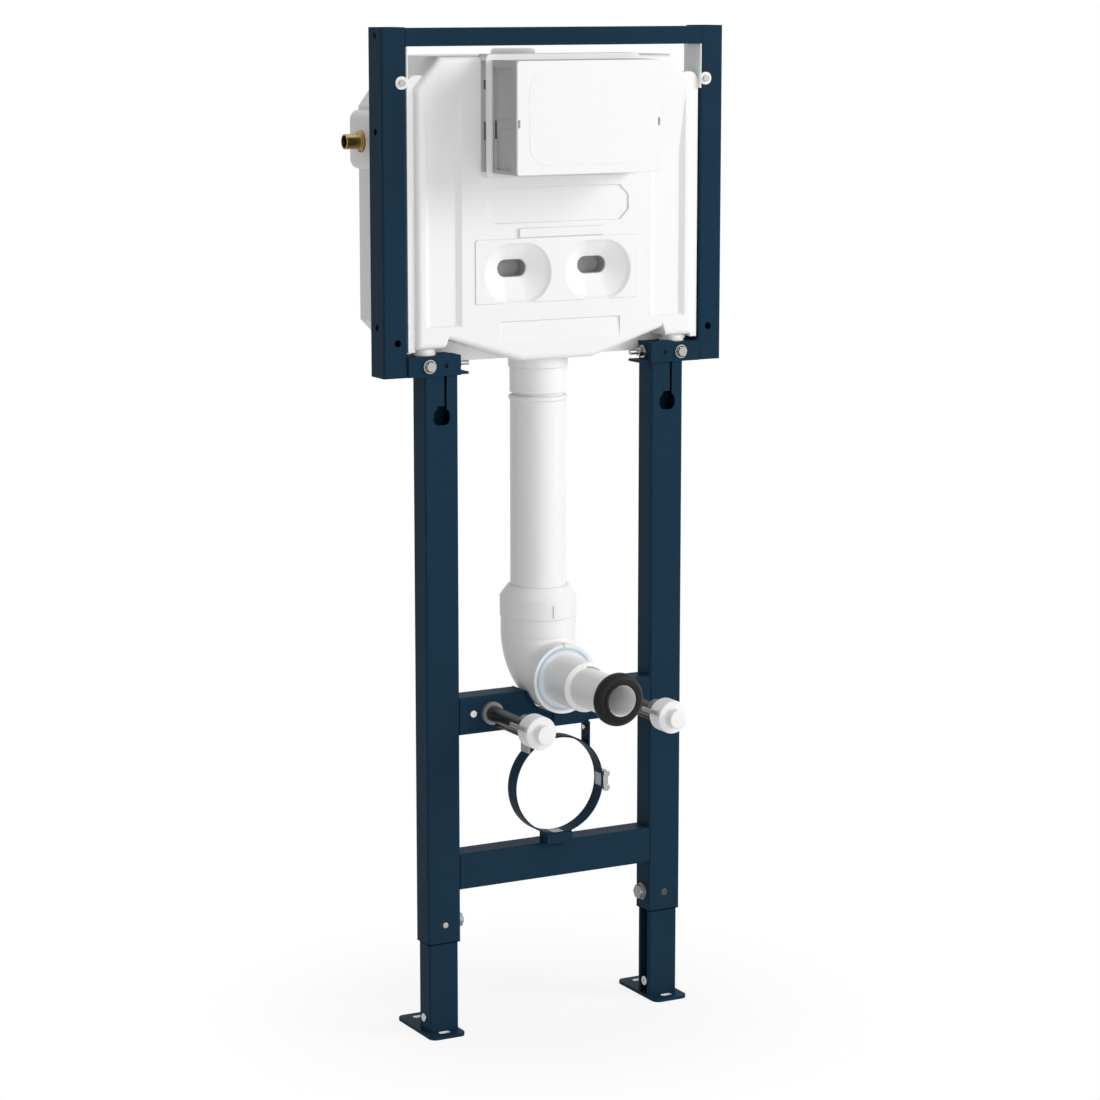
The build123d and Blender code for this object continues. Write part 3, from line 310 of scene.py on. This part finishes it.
def finish(name, colour, shade, roughness, grain, bump,
           metallic=0.0, edge=0.0006, shine=0.5, clear=0.0):
    """Two tones in soft clouds, a fine grain and softened edges."""
    material, tree, shader = new_material(name)
    place = tree.nodes.new("ShaderNodeTexCoord")
    clouds = add_noise(tree, place, cloud_scale, cloud_detail)
    speckle = add_noise(tree, place, grain, grain_detail)
    tones = tree.nodes.new("ShaderNodeMix")
    tones.data_type = "RGBA"
    tones.inputs[6].default_value = (*colour, 1)
    tones.inputs[7].default_value = (*shade, 1)
    rough = tree.nodes.new("ShaderNodeMapRange")
    rough.inputs["To Min"].default_value = roughness - roughness_spread
    rough.inputs["To Max"].default_value = roughness + roughness_spread
    relief = tree.nodes.new("ShaderNodeBump")
    relief.inputs["Strength"].default_value = bump
    relief.inputs["Distance"].default_value = grain_depth
    bevel = tree.nodes.new("ShaderNodeBevel")
    bevel.samples = bevel_samples
    bevel.inputs["Radius"].default_value = edge
    shader.inputs["Metallic"].default_value = metallic
    shader.inputs["Specular IOR Level"].default_value = shine
    shader.inputs["Transmission Weight"].default_value = clear
    tree.links.new(clouds, tones.inputs["Factor"])
    tree.links.new(clouds, rough.inputs["Value"])
    tree.links.new(tones.outputs[2], shader.inputs["Base Color"])
    tree.links.new(rough.outputs["Result"], shader.inputs["Roughness"])
    tree.links.new(speckle, relief.inputs["Height"])
    tree.links.new(bevel.outputs["Normal"], relief.inputs["Normal"])
    tree.links.new(relief.outputs["Normal"], shader.inputs["Normal"])
    return material


finishes = {name: finish(name, **look) for name, look in looks.items()}


def dress_nodes():
    """Every CAD piece that shows as it is takes the finish of its slot."""
    for entry in frame["record"]["subparts"]:
        data = nodes[entry["node"]].data
        data.materials.clear()
        data.materials.append(finishes[special_looks.get(entry["node"], entry["material_slot"])])


def add_piece(name, shape, look, body="frame", stands_for=()):
    """Scene piece from a bmesh: smooth, with sharp corners, carried by a body of the frame."""
    for face in shape.faces:
        face.smooth = True
    bmesh.ops.recalc_face_normals(shape, faces=shape.faces)
    data = bpy.data.meshes.new(name)
    shape.to_mesh(data)
    shape.free()
    data.set_sharp_from_angle(angle=radians(sharp_angle))
    piece = bpy.data.objects.new(name, data)
    scene.collection.objects.link(piece)
    data.materials.append(finishes[look])
    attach(piece, body)
    if stands_for:
        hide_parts(*stands_for)


def pin_profile(end, radius, start=0):
    """Profile of a plain round pin."""
    return [(start, 0), (start, radius), (end, radius), (end, 0)]


def tube_profile(start, end, inner, outer):
    """Profile of a plain tube."""
    return [(start, inner), (start, outer), (end, outer), (end, inner)]


def rounded(profile, corners):
    """Profile whose named corners, given as {index: radius}, are arcs."""
    points = []
    count = len(profile)
    for place, point in enumerate(profile):
        here = Vector(point)
        if place not in corners:
            points.append(here)
            continue
        before = (Vector(profile[place - 1]) - here).normalized()
        after = (Vector(profile[(place + 1) % count]) - here).normalized()
        start = here + before * corners[place]
        end = here + after * corners[place]
        for step in range(round_steps + 1):
            share = step / round_steps
            points.append(start.lerp(here, share).lerp(here.lerp(end, share), share))
    return points


def turn_profile(profile, origin, axis):
    """Solid of revolution from a closed profile of (distance along the axis, radius) points."""
    across = axis.orthogonal().normalized()
    along = axis.cross(across)
    shape = bmesh.new()
    rings = []
    for distance, radius in profile:
        ring = []
        for step in range(turn_steps):
            angle = 2 * pi * step / turn_steps
            outward = across * cos(angle) + along * sin(angle)
            ring.append(shape.verts.new(origin + axis * distance + outward * radius))
        rings.append(ring)
    for place, first in enumerate(rings):
        following = (place + 1) % len(rings)
        if profile[place][1] == 0 and profile[following][1] == 0:
            continue
        add_walls(shape, first, rings[following])
    bmesh.ops.remove_doubles(shape, verts=shape.verts, dist=weld_distance)
    return shape


def add_walls(shape, first, second):
    """Faces between two loops of as many points."""
    count = len(first)
    for place in range(count):
        after = (place + 1) % count
        shape.faces.new((first[place], first[after], second[after], second[place]))


def add_block(shape, low, high):
    """Plain box between two corners, added to a shape."""
    middle = (Vector(low) + Vector(high)) / 2
    size = Vector(high) - Vector(low)
    corners = bmesh.ops.create_cube(shape, size=1)["verts"]
    for corner in corners:
        corner.co = Vector(part * abs(length) for part, length in zip(corner.co, size)) + middle


def block(low, high):
    """Plain box between two corners."""
    shape = bmesh.new()
    add_block(shape, low, high)
    return shape


def side_block(sign, across, deep, tall):
    """Plain box between pairs of x, y and z, whose x are mirrored by the sign."""
    return block((sign * across[0], deep[0], tall[0]), (sign * across[1], deep[1], tall[1]))


def rounded_outline(half_width, half_height, corner):
    """Points round a rectangle with round corners, as (x, z) pairs from its middle."""
    points = []
    for sign_x, sign_z, start in ((1, 1, 0), (-1, 1, 90), (-1, -1, 180), (1, -1, 270)):
        for step in range(corner_steps + 1):
            angle = radians(start + 90 * step / corner_steps)
            points.append((sign_x * (half_width - corner) + corner * cos(angle),
                           sign_z * (half_height - corner) + corner * sin(angle)))
    return points


def bridged(loops, centre, closed, lying=False):
    """Skin over loops of points, each with its depth. Upright loops face the front, lying
    ones upwards. A skin that isn't closed ends in a face over its last loop."""
    shape = bmesh.new()
    rings = []
    for points, depth in loops:
        ring = []
        for x, other in points:
            place = Vector((centre[0] + x, centre[1] + other, depth))
            ring.append(shape.verts.new(place if lying else place.xzy))
        rings.append(ring)
    pairs = list(zip(rings, rings[1:]))
    if closed:
        pairs.append((rings[-1], rings[0]))
    else:
        shape.faces.new(rings[-1])
    for first, second in pairs:
        add_walls(shape, first, second)
    return shape


def softened(shape, radius, steps=2):
    """The same shape with its sharp edges rounded."""
    edges = [edge for edge in shape.edges if edge.calc_face_angle(0) > radians(bevel_angle)]
    bmesh.ops.bevel(shape, geom=edges, offset=radius, segments=steps,
                    profile=bevel_profile, affect="EDGES")
    return shape


def arc_band(centre, start, end, inner, outer, front, back):
    """Stretch of a band round an axis along Y, between two angles counted from +X."""
    shape = bmesh.new()
    steps = max(arc_fewest_steps, int(abs(end - start) / arc_degrees_per_step))
    rows = []
    for step in range(steps + 1):
        angle = radians(start + (end - start) * step / steps)
        outward = Vector((cos(angle), 0, sin(angle)))
        row = []
        for radius, depth in ((inner, front), (outer, front), (outer, back), (inner, back)):
            place = centre + outward * radius
            row.append(shape.verts.new((place.x, depth, place.z)))
        rows.append(row)
    for first, second in zip(rows, rows[1:]):
        add_walls(shape, first, second)
    shape.faces.new(rows[0])
    shape.faces.new(reversed(rows[-1]))
    return shape


def add_leg_buttons():
    """A bare stub in the left leg and a dark plug in the right one, each set against the right
    side of its hole, whose dark is a black disc of painted shade."""
    seat_depth = 0.003
    button_reach = 0.0047
    hole_radius = 0.0050
    hole_length = 0.0026
    stub_radius = 0.0036
    stub_stand = 0.0012
    plug_stand = 0.0006
    low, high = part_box("leg_buttons")
    radius = (high.z - low.z) / 2
    height = (high.z + low.z) / 2
    leg_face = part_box("leg_left")[0].y
    root = leg_face + seat_depth
    for side, x, look, size, stand in (
            ("left", low.x + radius, "zinc_plate", stub_radius, stub_stand),
            ("right", high.x - radius, "grey_dark", radius, plug_stand)):
        profile = rounded(pin_profile(root - leg_face + stand, size), {2: fine_round})
        place = Vector((x + button_reach - size, root, height))
        add_piece(f"leg_button_{side}", turn_profile(profile, place, toward_front), look,
                  stands_for=["leg_buttons"])
        # Painted shade: a black disc in the hole, seen as a dark crescent beside the button
        hole_shade = turn_profile(pin_profile(hole_length, hole_radius), Vector((x, root, height)),
                               toward_front)
        add_piece(f"leg_hole_{side}", hole_shade, "black_plastic")


def add_stud_caps():
    """White caps with rounded rims, each with a smoked skirt and a clear clip at its back."""
    disc_length = 0.023
    boss_radius = 0.0115
    boss_round = 0.0015
    bore_radius = 0.0063
    bore_depth = 0.029
    skirt_turn = (95, 172)
    skirt_radii = (0.0148, 0.0168)
    skirt_overlap = 0.001
    skirt_length = 0.014
    clip_offset = (-0.0205, -0.0215, 0.0062)
    clip_length = 0.038
    clip_radius = 0.0026
    clip_rounds = {1: 0.002, 2: 0.0024}
    for side in sides:
        low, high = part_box(f"stud_cap_{side}")
        middle = (low + high) / 2
        radius = (high.x - low.x) / 2
        back = Vector((middle.x, high.y, middle.z))
        length = high.y - low.y
        profile = rounded(
            [(0, bore_radius), (0, radius), (disc_length, radius), (disc_length, boss_radius),
             (length, boss_radius), (length, 0), (bore_depth, 0), (bore_depth, bore_radius)],
            {1: fine_round, 2: lip_round, 3: fine_round, 4: boss_round})
        add_piece(f"stud_cap_{side}_turned", turn_profile(profile, back, toward_front),
                  "white_plastic", stands_for=[f"stud_cap_{side}"])
        skirt = arc_band(middle, *skirt_turn, *skirt_radii,
                         back.y - skirt_overlap, back.y + skirt_length)
        add_piece(f"stud_skirt_{side}", skirt, "smoked_plastic_and_shade")
        profile = rounded(pin_profile(clip_length, clip_radius), clip_rounds)
        clip = turn_profile(profile, back + Vector(clip_offset), toward_back)
        add_piece(f"stud_clip_{side}", clip, "clear_plastic")


def add_stud_ribs():
    """Square rib along the lower side of each black sleeve."""
    half_width = 0.0045
    front_gap = 0.002
    back_gap = 0.012
    drop = 0.0035
    rib_round = 0.0012
    for side in sides:
        low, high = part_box(f"stud_sleeve_{side}")
        middle = (low + high) / 2
        rib = block((middle.x - half_width, low.y + front_gap, low.z - drop),
                    (middle.x + half_width, high.y - back_gap, middle.z))
        add_piece(f"stud_rib_{side}", softened(rib, rib_round), "black_plastic")


def add_hoop():
    """Painted band with bare windows, and the housing and ends of its worm screw."""
    window_front = 0.0012
    window_back = 0.0035
    housing_shift = 0.003
    housing_drop = 0.0035
    housing_round = 0.0016
    housing_steps = 3
    end_length = 0.0125
    end_round = 0.001
    end_shift = (0.0012, 0.00625)
    end_rise = 0.0088
    low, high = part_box("waste_hoop")
    height = (low.z + high.z) / 2
    outer = (high.z - low.z) / 2
    inner = outer - band_thickness
    centre = Vector((low.x + outer, 0, height))
    band = turn_profile(tube_profile(0, high.y - low.y, inner, outer),
                        Vector((centre.x, high.y, height)), toward_front)
    add_piece("hoop_band", band, "navy_paint", stands_for=["waste_hoop"])
    for number, (start, end) in enumerate(window_turns):
        window = arc_band(centre, start, end, inner - window_excess, inner + window_excess,
                          low.y + window_front, high.y - window_back)
        add_piece(f"hoop_window_{number}", window, "dull_zinc_and_shade")
    middle = Vector((high.x - screw_housing[0] / 2 + housing_shift, (low.y + high.y) / 2,
                     height - housing_drop))
    half = Vector(screw_housing) / 2
    housing = softened(block(middle - half, middle + half), housing_round, housing_steps)
    add_piece("hoop_screw_housing", housing, "zinc_plate")
    for number, rise in enumerate((-end_rise, end_rise)):
        profile = rounded(pin_profile(end_length, screw_radius), {1: end_round, 2: end_round})
        start = middle + Vector((*end_shift, rise))
        add_piece(f"hoop_screw_end_{number}", turn_profile(profile, start, toward_front),
                  "zinc_plate")


def add_hangers():
    """Bare zinc cover over the left hanger, darkened as painted shade on its left-facing side,
    and the screw at the top of the right one.
    """
    plate = 0.002
    cover = 0.0003
    cover_bottom = 0.044
    head_radius = 0.0032
    head_length = 0.003
    head_drop = 0.008
    low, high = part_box("hoop_brackets")
    hoop_low, hoop_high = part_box("waste_hoop")
    bottom = (hoop_low.z + hoop_high.z) / 2 + cover_bottom
    # Painted shade: the cover's zinc is made darker because its left face is in shade
    zinc = block((low.x - cover, hoop_low.y - cover, bottom),
                 (low.x + plate + cover, hoop_high.y + cover, high.z))
    add_piece("hanger_cover_left", zinc, "dull_zinc_and_shade")
    profile = rounded(pin_profile(head_length, head_radius), {2: fine_round})
    place = Vector((high.x - plate, (hoop_low.y + hoop_high.y) / 2, high.z - head_drop))
    add_piece("hanger_screw", turn_profile(profile, place, toward_left), "zinc_plate")


def add_rail_screws():
    """Small white screws in the upper rail, outside the studs."""
    screw_x = 0.1144
    screw_rise = 0.001
    head_radius = 0.0042
    head_length = 0.0018
    recess_radius = 0.0016
    recess_floor = 0.001
    head_round = 0.0009
    rail_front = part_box("mid_rail")[0].y
    stud_low, stud_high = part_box("stud_left")
    profile = rounded(
        [(0, 0), (0, head_radius), (head_length, head_radius), (head_length, recess_radius),
         (recess_floor, recess_radius), (recess_floor, 0)],
        {2: head_round})
    for side, sign in sides.items():
        place = Vector((sign * screw_x, rail_front, (stud_low.z + stud_high.z) / 2 + screw_rise))
        add_piece(f"rail_screw_{side}", turn_profile(profile, place, toward_front),
                  "white_plastic")


def add_outlet_ring():
    """Black rubber ring round the connector's tip: it slopes to a crest round its mouth."""
    swell = 0.0010
    bore = 0.0204
    mouth = 0.0189
    step = 0.0244
    step_depth = 0.003
    crest_width = 0.0036
    slope_start = 0.0072
    slope_end = 0.0022
    slope_drop = 0.0046
    crest_root = 0.0016
    lip_length = 0.0019
    rounds = {1: 0.0022, 2: 0.0030, 3: 0.0022, 5: 0.0007, 6: 0.0008}
    low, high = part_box("outlet_seal")
    middle = (low + high) / 2
    outer = (high.z - low.z) / 2 + swell
    length = high.y - low.y
    lip = length - lip_length
    crest = mouth + crest_width
    back = Vector((middle.x, high.y, middle.z))
    profile = rounded(
        [(0, step), (0, outer), (length - slope_start, outer),
         (length - slope_end, outer - slope_drop), (length - crest_root, crest),
         (length, crest), (length, mouth), (lip, mouth), (lip, bore),
         (step_depth, bore), (step_depth, step)],
        rounds)
    add_piece("outlet_ring", turn_profile(profile, back, toward_front), "black_rubber",
              stands_for=["outlet_seal"])


def add_inlet():
    """Turned brass tube with a lipped end on its flange, which has a small dark fixing hole."""
    tube = 0.009
    bore = 0.0075
    thick = 0.0032
    seat = 0.001
    rounds = {2: 0.0012, 3: 0.0015, 4: 0.0006, 5: 0.0004}
    hole_offset = (0, -0.003, -0.0108)
    hole_radius = 0.0017
    hole_back = -0.0005
    hole_front = 0.0002
    low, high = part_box("inlet_union")
    middle = (low + high) / 2
    root = Vector((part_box("inlet_gasket")[0].x, middle.y, middle.z))
    length = root.x - low.x
    flange = (high.z - low.z) / 2
    profile = rounded([(-seat, bore), (-seat, flange), (thick, flange), (thick, tube),
                       (length, tube), (length, bore)], rounds)
    add_piece("inlet_tube", turn_profile(profile, root, toward_left), "brass",
              stands_for=["inlet_union"])
    hole_place = root + toward_left * thick + Vector(hole_offset)
    hole = turn_profile(pin_profile(hole_front, hole_radius, hole_back), hole_place, toward_left)
    add_piece("inlet_hole", hole, "black_plastic")


def add_elbow_marks():
    """Rib on the socket's collar, a grey block of painted shade in the split of the mouth's ring,
    blue lip, and a grey arc of painted shade in the connector's gap.
    """
    rib_x = (-0.0046, -0.0038)
    rib_y = (-0.0004, 0.003)
    rib_drop = 0.0197
    rib_height = 0.0155
    split_x = (-0.0016, -0.0006)
    split_y = (-0.0002, 0.004)
    split_height = 0.005
    lip_outer = 0.0002
    lip_inner = 0.0032
    lip_depth = 0.0012
    lip_back = 0.0005
    gap_turn = (48, 92)
    gap_inner = 0.0060
    gap_outer = 0.0042
    gap_y = (-0.0002, 0.002)
    collar_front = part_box("flush_elbow")[1].y - 2 * collar_radius
    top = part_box("flush_elbow")[1].z - rib_drop
    rib = block((rib_x[0], collar_front + rib_y[0], top - rib_height),
                (rib_x[1], collar_front + rib_y[1], top))
    add_piece("elbow_mark", rib, "natural_plastic")
    low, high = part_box("elbow_seal")
    middle = (low + high) / 2
    bore = (high.z - low.z) / 2
    # Painted shade: a grey block in the split at the top of the mouth's ring
    split = block((split_x[0], low.y + split_y[0], middle.z + bore),
                  (split_x[1], low.y + split_y[1], middle.z + bore + split_height))
    add_piece("elbow_split", split, "natural_plastic")
    profile = rounded(tube_profile(0, lip_depth, bore - lip_inner, bore - lip_outer),
                      {2: fine_round, 3: fine_round})
    place = Vector((middle.x, low.y + lip_back, middle.z))
    add_piece("elbow_lip", turn_profile(profile, place, toward_front), "blue_lip")
    stage = (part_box("flush_connector")[1].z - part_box("flush_connector")[0].z) / 2
    # Painted shade: a grey arc where the connector's gap lies in shade
    gap = arc_band(middle, *gap_turn, stage - gap_inner, stage - gap_outer,
                   shoulder_front + gap_y[0], shoulder_front + gap_y[1])
    add_piece("connector_gap", gap, "slot_shade")


def add_box_shell():
    """Walls of the access box, whose sides are sunk panels inside flat borders, with a post
    and a rib. Then its slots, dark plates of painted shade, and its catches; the marks on the
    neck behind it, which are painted shade; and the thin rims at its back."""
    wall = 0.003
    panel = 0.0015
    tuck = 0.0002
    border_front = 0.0125
    border_back = 0.0022
    border_top = 0.0085
    border_bottom = 0.0045
    post_near, post_far = 0.0095, 0.0028
    post_top = 0.040
    post_sink = 0.0008
    rib_bottom, rib_top = 0.053, 0.063
    rib_stand = 0.0004
    slot_near, slot_far = 0.0062, 0.0026
    slot_bottom, slot_top = 0.040, 0.061
    catch_depth = 0.0025
    catch_bottom, catch_top = 0.057, 0.063
    mark_stand = 0.0005
    mark_root = 0.001
    rim_depth = 0.0018
    rim_stand = 0.0016
    low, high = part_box("access_box")
    shape = bmesh.new()
    half = high.x
    deep = half - panel_sink
    root = deep - panel
    inner_bottom = low.z + border_bottom
    inner_top = high.z - border_top
    front_border = low.y + border_front
    add_block(shape, (-root, low.y, high.z - wall), (root, high.y, high.z))
    add_block(shape, (-root, low.y, low.z), (root, high.y, low.z + wall))
    for sign in sides.values():
        walls = (
            (low.y + tuck, high.y - tuck, low.z + tuck, high.z - tuck, deep),
            (low.y, front_border, inner_bottom, inner_top, half),
            (high.y - border_back, high.y, inner_bottom, inner_top, half),
            (low.y, high.y, inner_top, high.z, half),
            (low.y, high.y, low.z, inner_bottom, half),
            (high.y - post_near, high.y - post_far, inner_bottom, low.z + post_top,
             half - post_sink),
            (front_border, high.y - post_near, low.z + rib_bottom, low.z + rib_top,
             deep + rib_stand))
        for near, far, bottom, top, face in walls:
            add_block(shape, (sign * root, near, bottom), (sign * face, far, top))
    add_piece("box_shell", shape, "natural_plastic", stands_for=["access_box"])
    for side, sign in sides.items():
        # Painted shade: a dark plate where the slot's hole is
        slot = side_block(sign, (deep, deep + mark_stand),
                          (high.y - slot_near, high.y - slot_far),
                          (low.z + slot_bottom, low.z + slot_top))
        add_piece(f"box_slot_{side}", slot, "smoked_plastic_and_shade")
        catch = side_block(sign, (deep, deep + mark_stand),
                           (front_border, front_border + catch_depth),
                           (low.z + catch_bottom, low.z + catch_top))
        add_piece(f"box_catch_{side}", catch, "smoked_plastic_and_shade")
        # Painted shade on the neck's sides, from the table above
        for name, near, far, bottom, top, stand, look in neck_marks:
            plate = side_block(sign, (neck_half - mark_root, neck_half + stand),
                               (high.y + near, high.y + far), (low.z + bottom, low.z + top))
            add_piece(f"neck_{name}_{side}", plate, look)
        rim = side_block(sign, (half, half + rim_stand), (high.y - rim_depth, high.y),
                         (low.z, high.z))
        add_piece(f"box_rim_{side}", rim, "white_plastic")


def add_lid_field():
    """Barely raised field with large round corners on the building lid."""
    side_margin = 0.0155
    end_margin = 0.0105
    corner = 0.024
    slope = 0.0004
    root = 0.0005
    rise = 0.0001
    low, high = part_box("access_lid")
    centre = (0, (low.z + high.z) / 2)
    half_width = high.x - side_margin
    half_height = (high.z - low.z) / 2 - end_margin
    outer = rounded_outline(half_width, half_height, corner)
    inner = rounded_outline(half_width - slope, half_height - slope, corner - slope)
    shape = bridged([(outer, low.y + root), (inner, low.y - rise)], centre, False)
    add_piece("lid_field", shape, "white_plastic")


def add_painted_shade_in_slots():
    """Painted shade: grey walls and a floor deep inside the two slots in the front of the
    cistern, where shade falls.
    """
    gap = 0.0002
    thick = 0.0004
    flat = 0.0001
    floor_thick = 0.001
    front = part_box("cistern")[0].y + neck_reach
    outer_half = (slot_half_length - gap, slot_half_height - gap)
    inner_half = (slot_half_length - gap - thick, slot_half_height - gap - thick)
    outline = rounded_outline(*outer_half, outer_half[1] - flat)
    inner = rounded_outline(*inner_half, inner_half[1] - flat)
    for side, sign in sides.items():
        centre = (sign * slot_offset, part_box("cistern")[0].z + slot_height)
        shape = bridged([(inner, front + slot_floor - floor_thick), (inner, front + slot_start),
                         (outline, front + slot_start), (outline, front + slot_floor)],
                        centre, False)
        bmesh.ops.holes_fill(shape, edges=shape.edges)
        add_piece(f"painted_slot_shade_{side}", shape, "slot_shade")


def add_feet_details():
    """Edges of the floor slots, painted near white as the light of the floor that shows through
    them, and a screw with a hollow head across each channel.
    """
    edge_thick = 0.0004
    edge_bottom = 0.0004
    edge_sink = 0.0001
    flat = 0.00001
    screw_start = 0.167
    shank_radius = 0.0030
    shank_length = 0.0275
    head_radius = 0.0060
    head_end = 0.0321
    hollow_floor = 0.0306
    hollow_radius = 0.0022
    hollow_root = 0.0018
    hollow_round = 0.0014
    outer = rounded_outline(slot_reach, slot_radius, slot_radius - flat)
    inner = rounded_outline(slot_reach - edge_thick, slot_radius - edge_thick,
                            slot_radius - edge_thick - flat)
    profile = rounded(
        [(0, 0), (0, shank_radius), (shank_length, shank_radius), (shank_length, head_radius),
         (head_end, head_radius), (head_end, hollow_radius), (hollow_floor, hollow_root),
         (hollow_floor, 0)],
        {3: fine_round, 4: hollow_round})
    for side, sign in sides.items():
        low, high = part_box(f"foot_plate_{side}")
        middle = (low + high) / 2
        top = high.z - edge_sink
        for end, name in ((-1, "front"), (1, "back")):
            centre = (middle.x, middle.y + end * slot_spacing / 2)
            # Painted light: near-white walls in the slot, where the white floor shows through
            edge = bridged([(outer, edge_bottom), (outer, top), (inner, top),
                            (inner, edge_bottom)], centre, True, lying=True)
            add_piece(f"foot_slot_{side}_{name}", edge, "painted_light_zinc", body=f"{side}_foot")
        bolt_low, bolt_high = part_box(f"foot_bolt_{side}")
        bolt = (bolt_low + bolt_high) / 2
        bolt.x = sign * screw_start
        head = turn_profile(profile, bolt, Vector((-sign, 0, 0)))
        add_piece(f"foot_stud_{side}", head, "zinc_plate", body=f"{side}_foot")


def add_seams():
    """Painted lips behind the joints of the posts, a dark block of painted shade at the top end
    of each keyhole's slit, a dark band of painted shadow under each leg, and a ring of painted
    shadow round the head of each bracket bolt."""
    lip_x = (0.0004, -0.0022)
    lip_y = (0.0002, 0.0026)
    strip_x = (0.0010, -0.0012)
    strip_y = (0.0003, 0.0030)
    strip_inset = 0.0003
    slit_half = 0.0015
    slit_y = (-0.0003, 0.0005)
    slit_z = (-0.0095, 0.0003)
    shadow_inset = 0.0006
    shadow_gap = 0.0002
    shadow_height = 0.0013
    shadow_ring_depths = (-0.0003, 0.0002)
    shadow_ring_radii = (0.0057, 0.0069)
    ring = tube_profile(*shadow_ring_depths, *shadow_ring_radii)
    rail_low, rail_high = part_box("top_rail")
    inner = rail_high.x
    for side, sign in sides.items():
        low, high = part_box(f"bracket_{side}")
        post_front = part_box(f"upper_post_{side}")[0].y
        lip = side_block(sign, [inner + x for x in lip_x], [post_front + y for y in lip_y],
                         (low.z, high.z))
        add_piece(f"bracket_lip_{side}", lip, "navy_paint")
        strip = side_block(sign, [inner + x for x in strip_x],
                           [post_front + y for y in strip_y],
                           (rail_low.z + strip_inset, rail_high.z - strip_inset))
        add_piece(f"rail_lip_{side}", strip, "navy_paint")
        leg_low, leg_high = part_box(f"leg_{side}")
        # Painted shade: a dark block at the top end of the keyhole's slit
        slit = (leg_low.x + leg_high.x) / 2 + slit_offset
        end = block((slit - slit_half, leg_low.y + slit_y[0], low.z + slit_z[0]),
                    (slit + slit_half, leg_low.y + slit_y[1], low.z + slit_z[1]))
        add_piece(f"slit_end_{side}", end, "painted_gap_shade")
        # Painted shadow: a dark band under the leg's bottom end, round the foot tube
        tube_low, tube_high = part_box(f"foot_tube_{side}")
        front = leg_low.y + shadow_inset
        bottom = leg_low.z - shadow_height
        shadow_band = bmesh.new()
        for near, far in ((leg_low.x + shadow_inset, tube_low.x - shadow_gap),
                          (tube_high.x + shadow_gap, leg_high.x - shadow_inset)):
            add_block(shadow_band, (near, front, bottom), (far, leg_high.y - shadow_inset, leg_low.z))
        add_block(shadow_band, (tube_low.x - shadow_gap, front, bottom),
                  (tube_high.x + shadow_gap, tube_low.y - shadow_gap, leg_low.z))
        add_piece(f"leg_painted_shadow_{side}", shadow_band, "painted_gap_shade")
        # Painted shadow: a dark grey ring between the bolt's head and its washer
        washer = Vector((sign * bolt_place_x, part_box(f"bracket_bolts_{side}")[0].y + bolt_head,
                         bolt_height))
        add_piece(f"bolt_painted_shadow_{side}", turn_profile(ring, washer, toward_front), "grey_dark")


add_camera()
add_world()
add_floor()
add_lights()
dress_nodes()
add_leg_buttons()
add_stud_caps()
add_stud_ribs()
add_hoop()
add_hangers()
add_rail_screws()
add_outlet_ring()
add_inlet()
add_elbow_marks()
add_box_shell()
add_lid_field()
add_painted_shade_in_slots()
add_feet_details()
add_seams()
scene.view_settings.view_transform = "Standard"
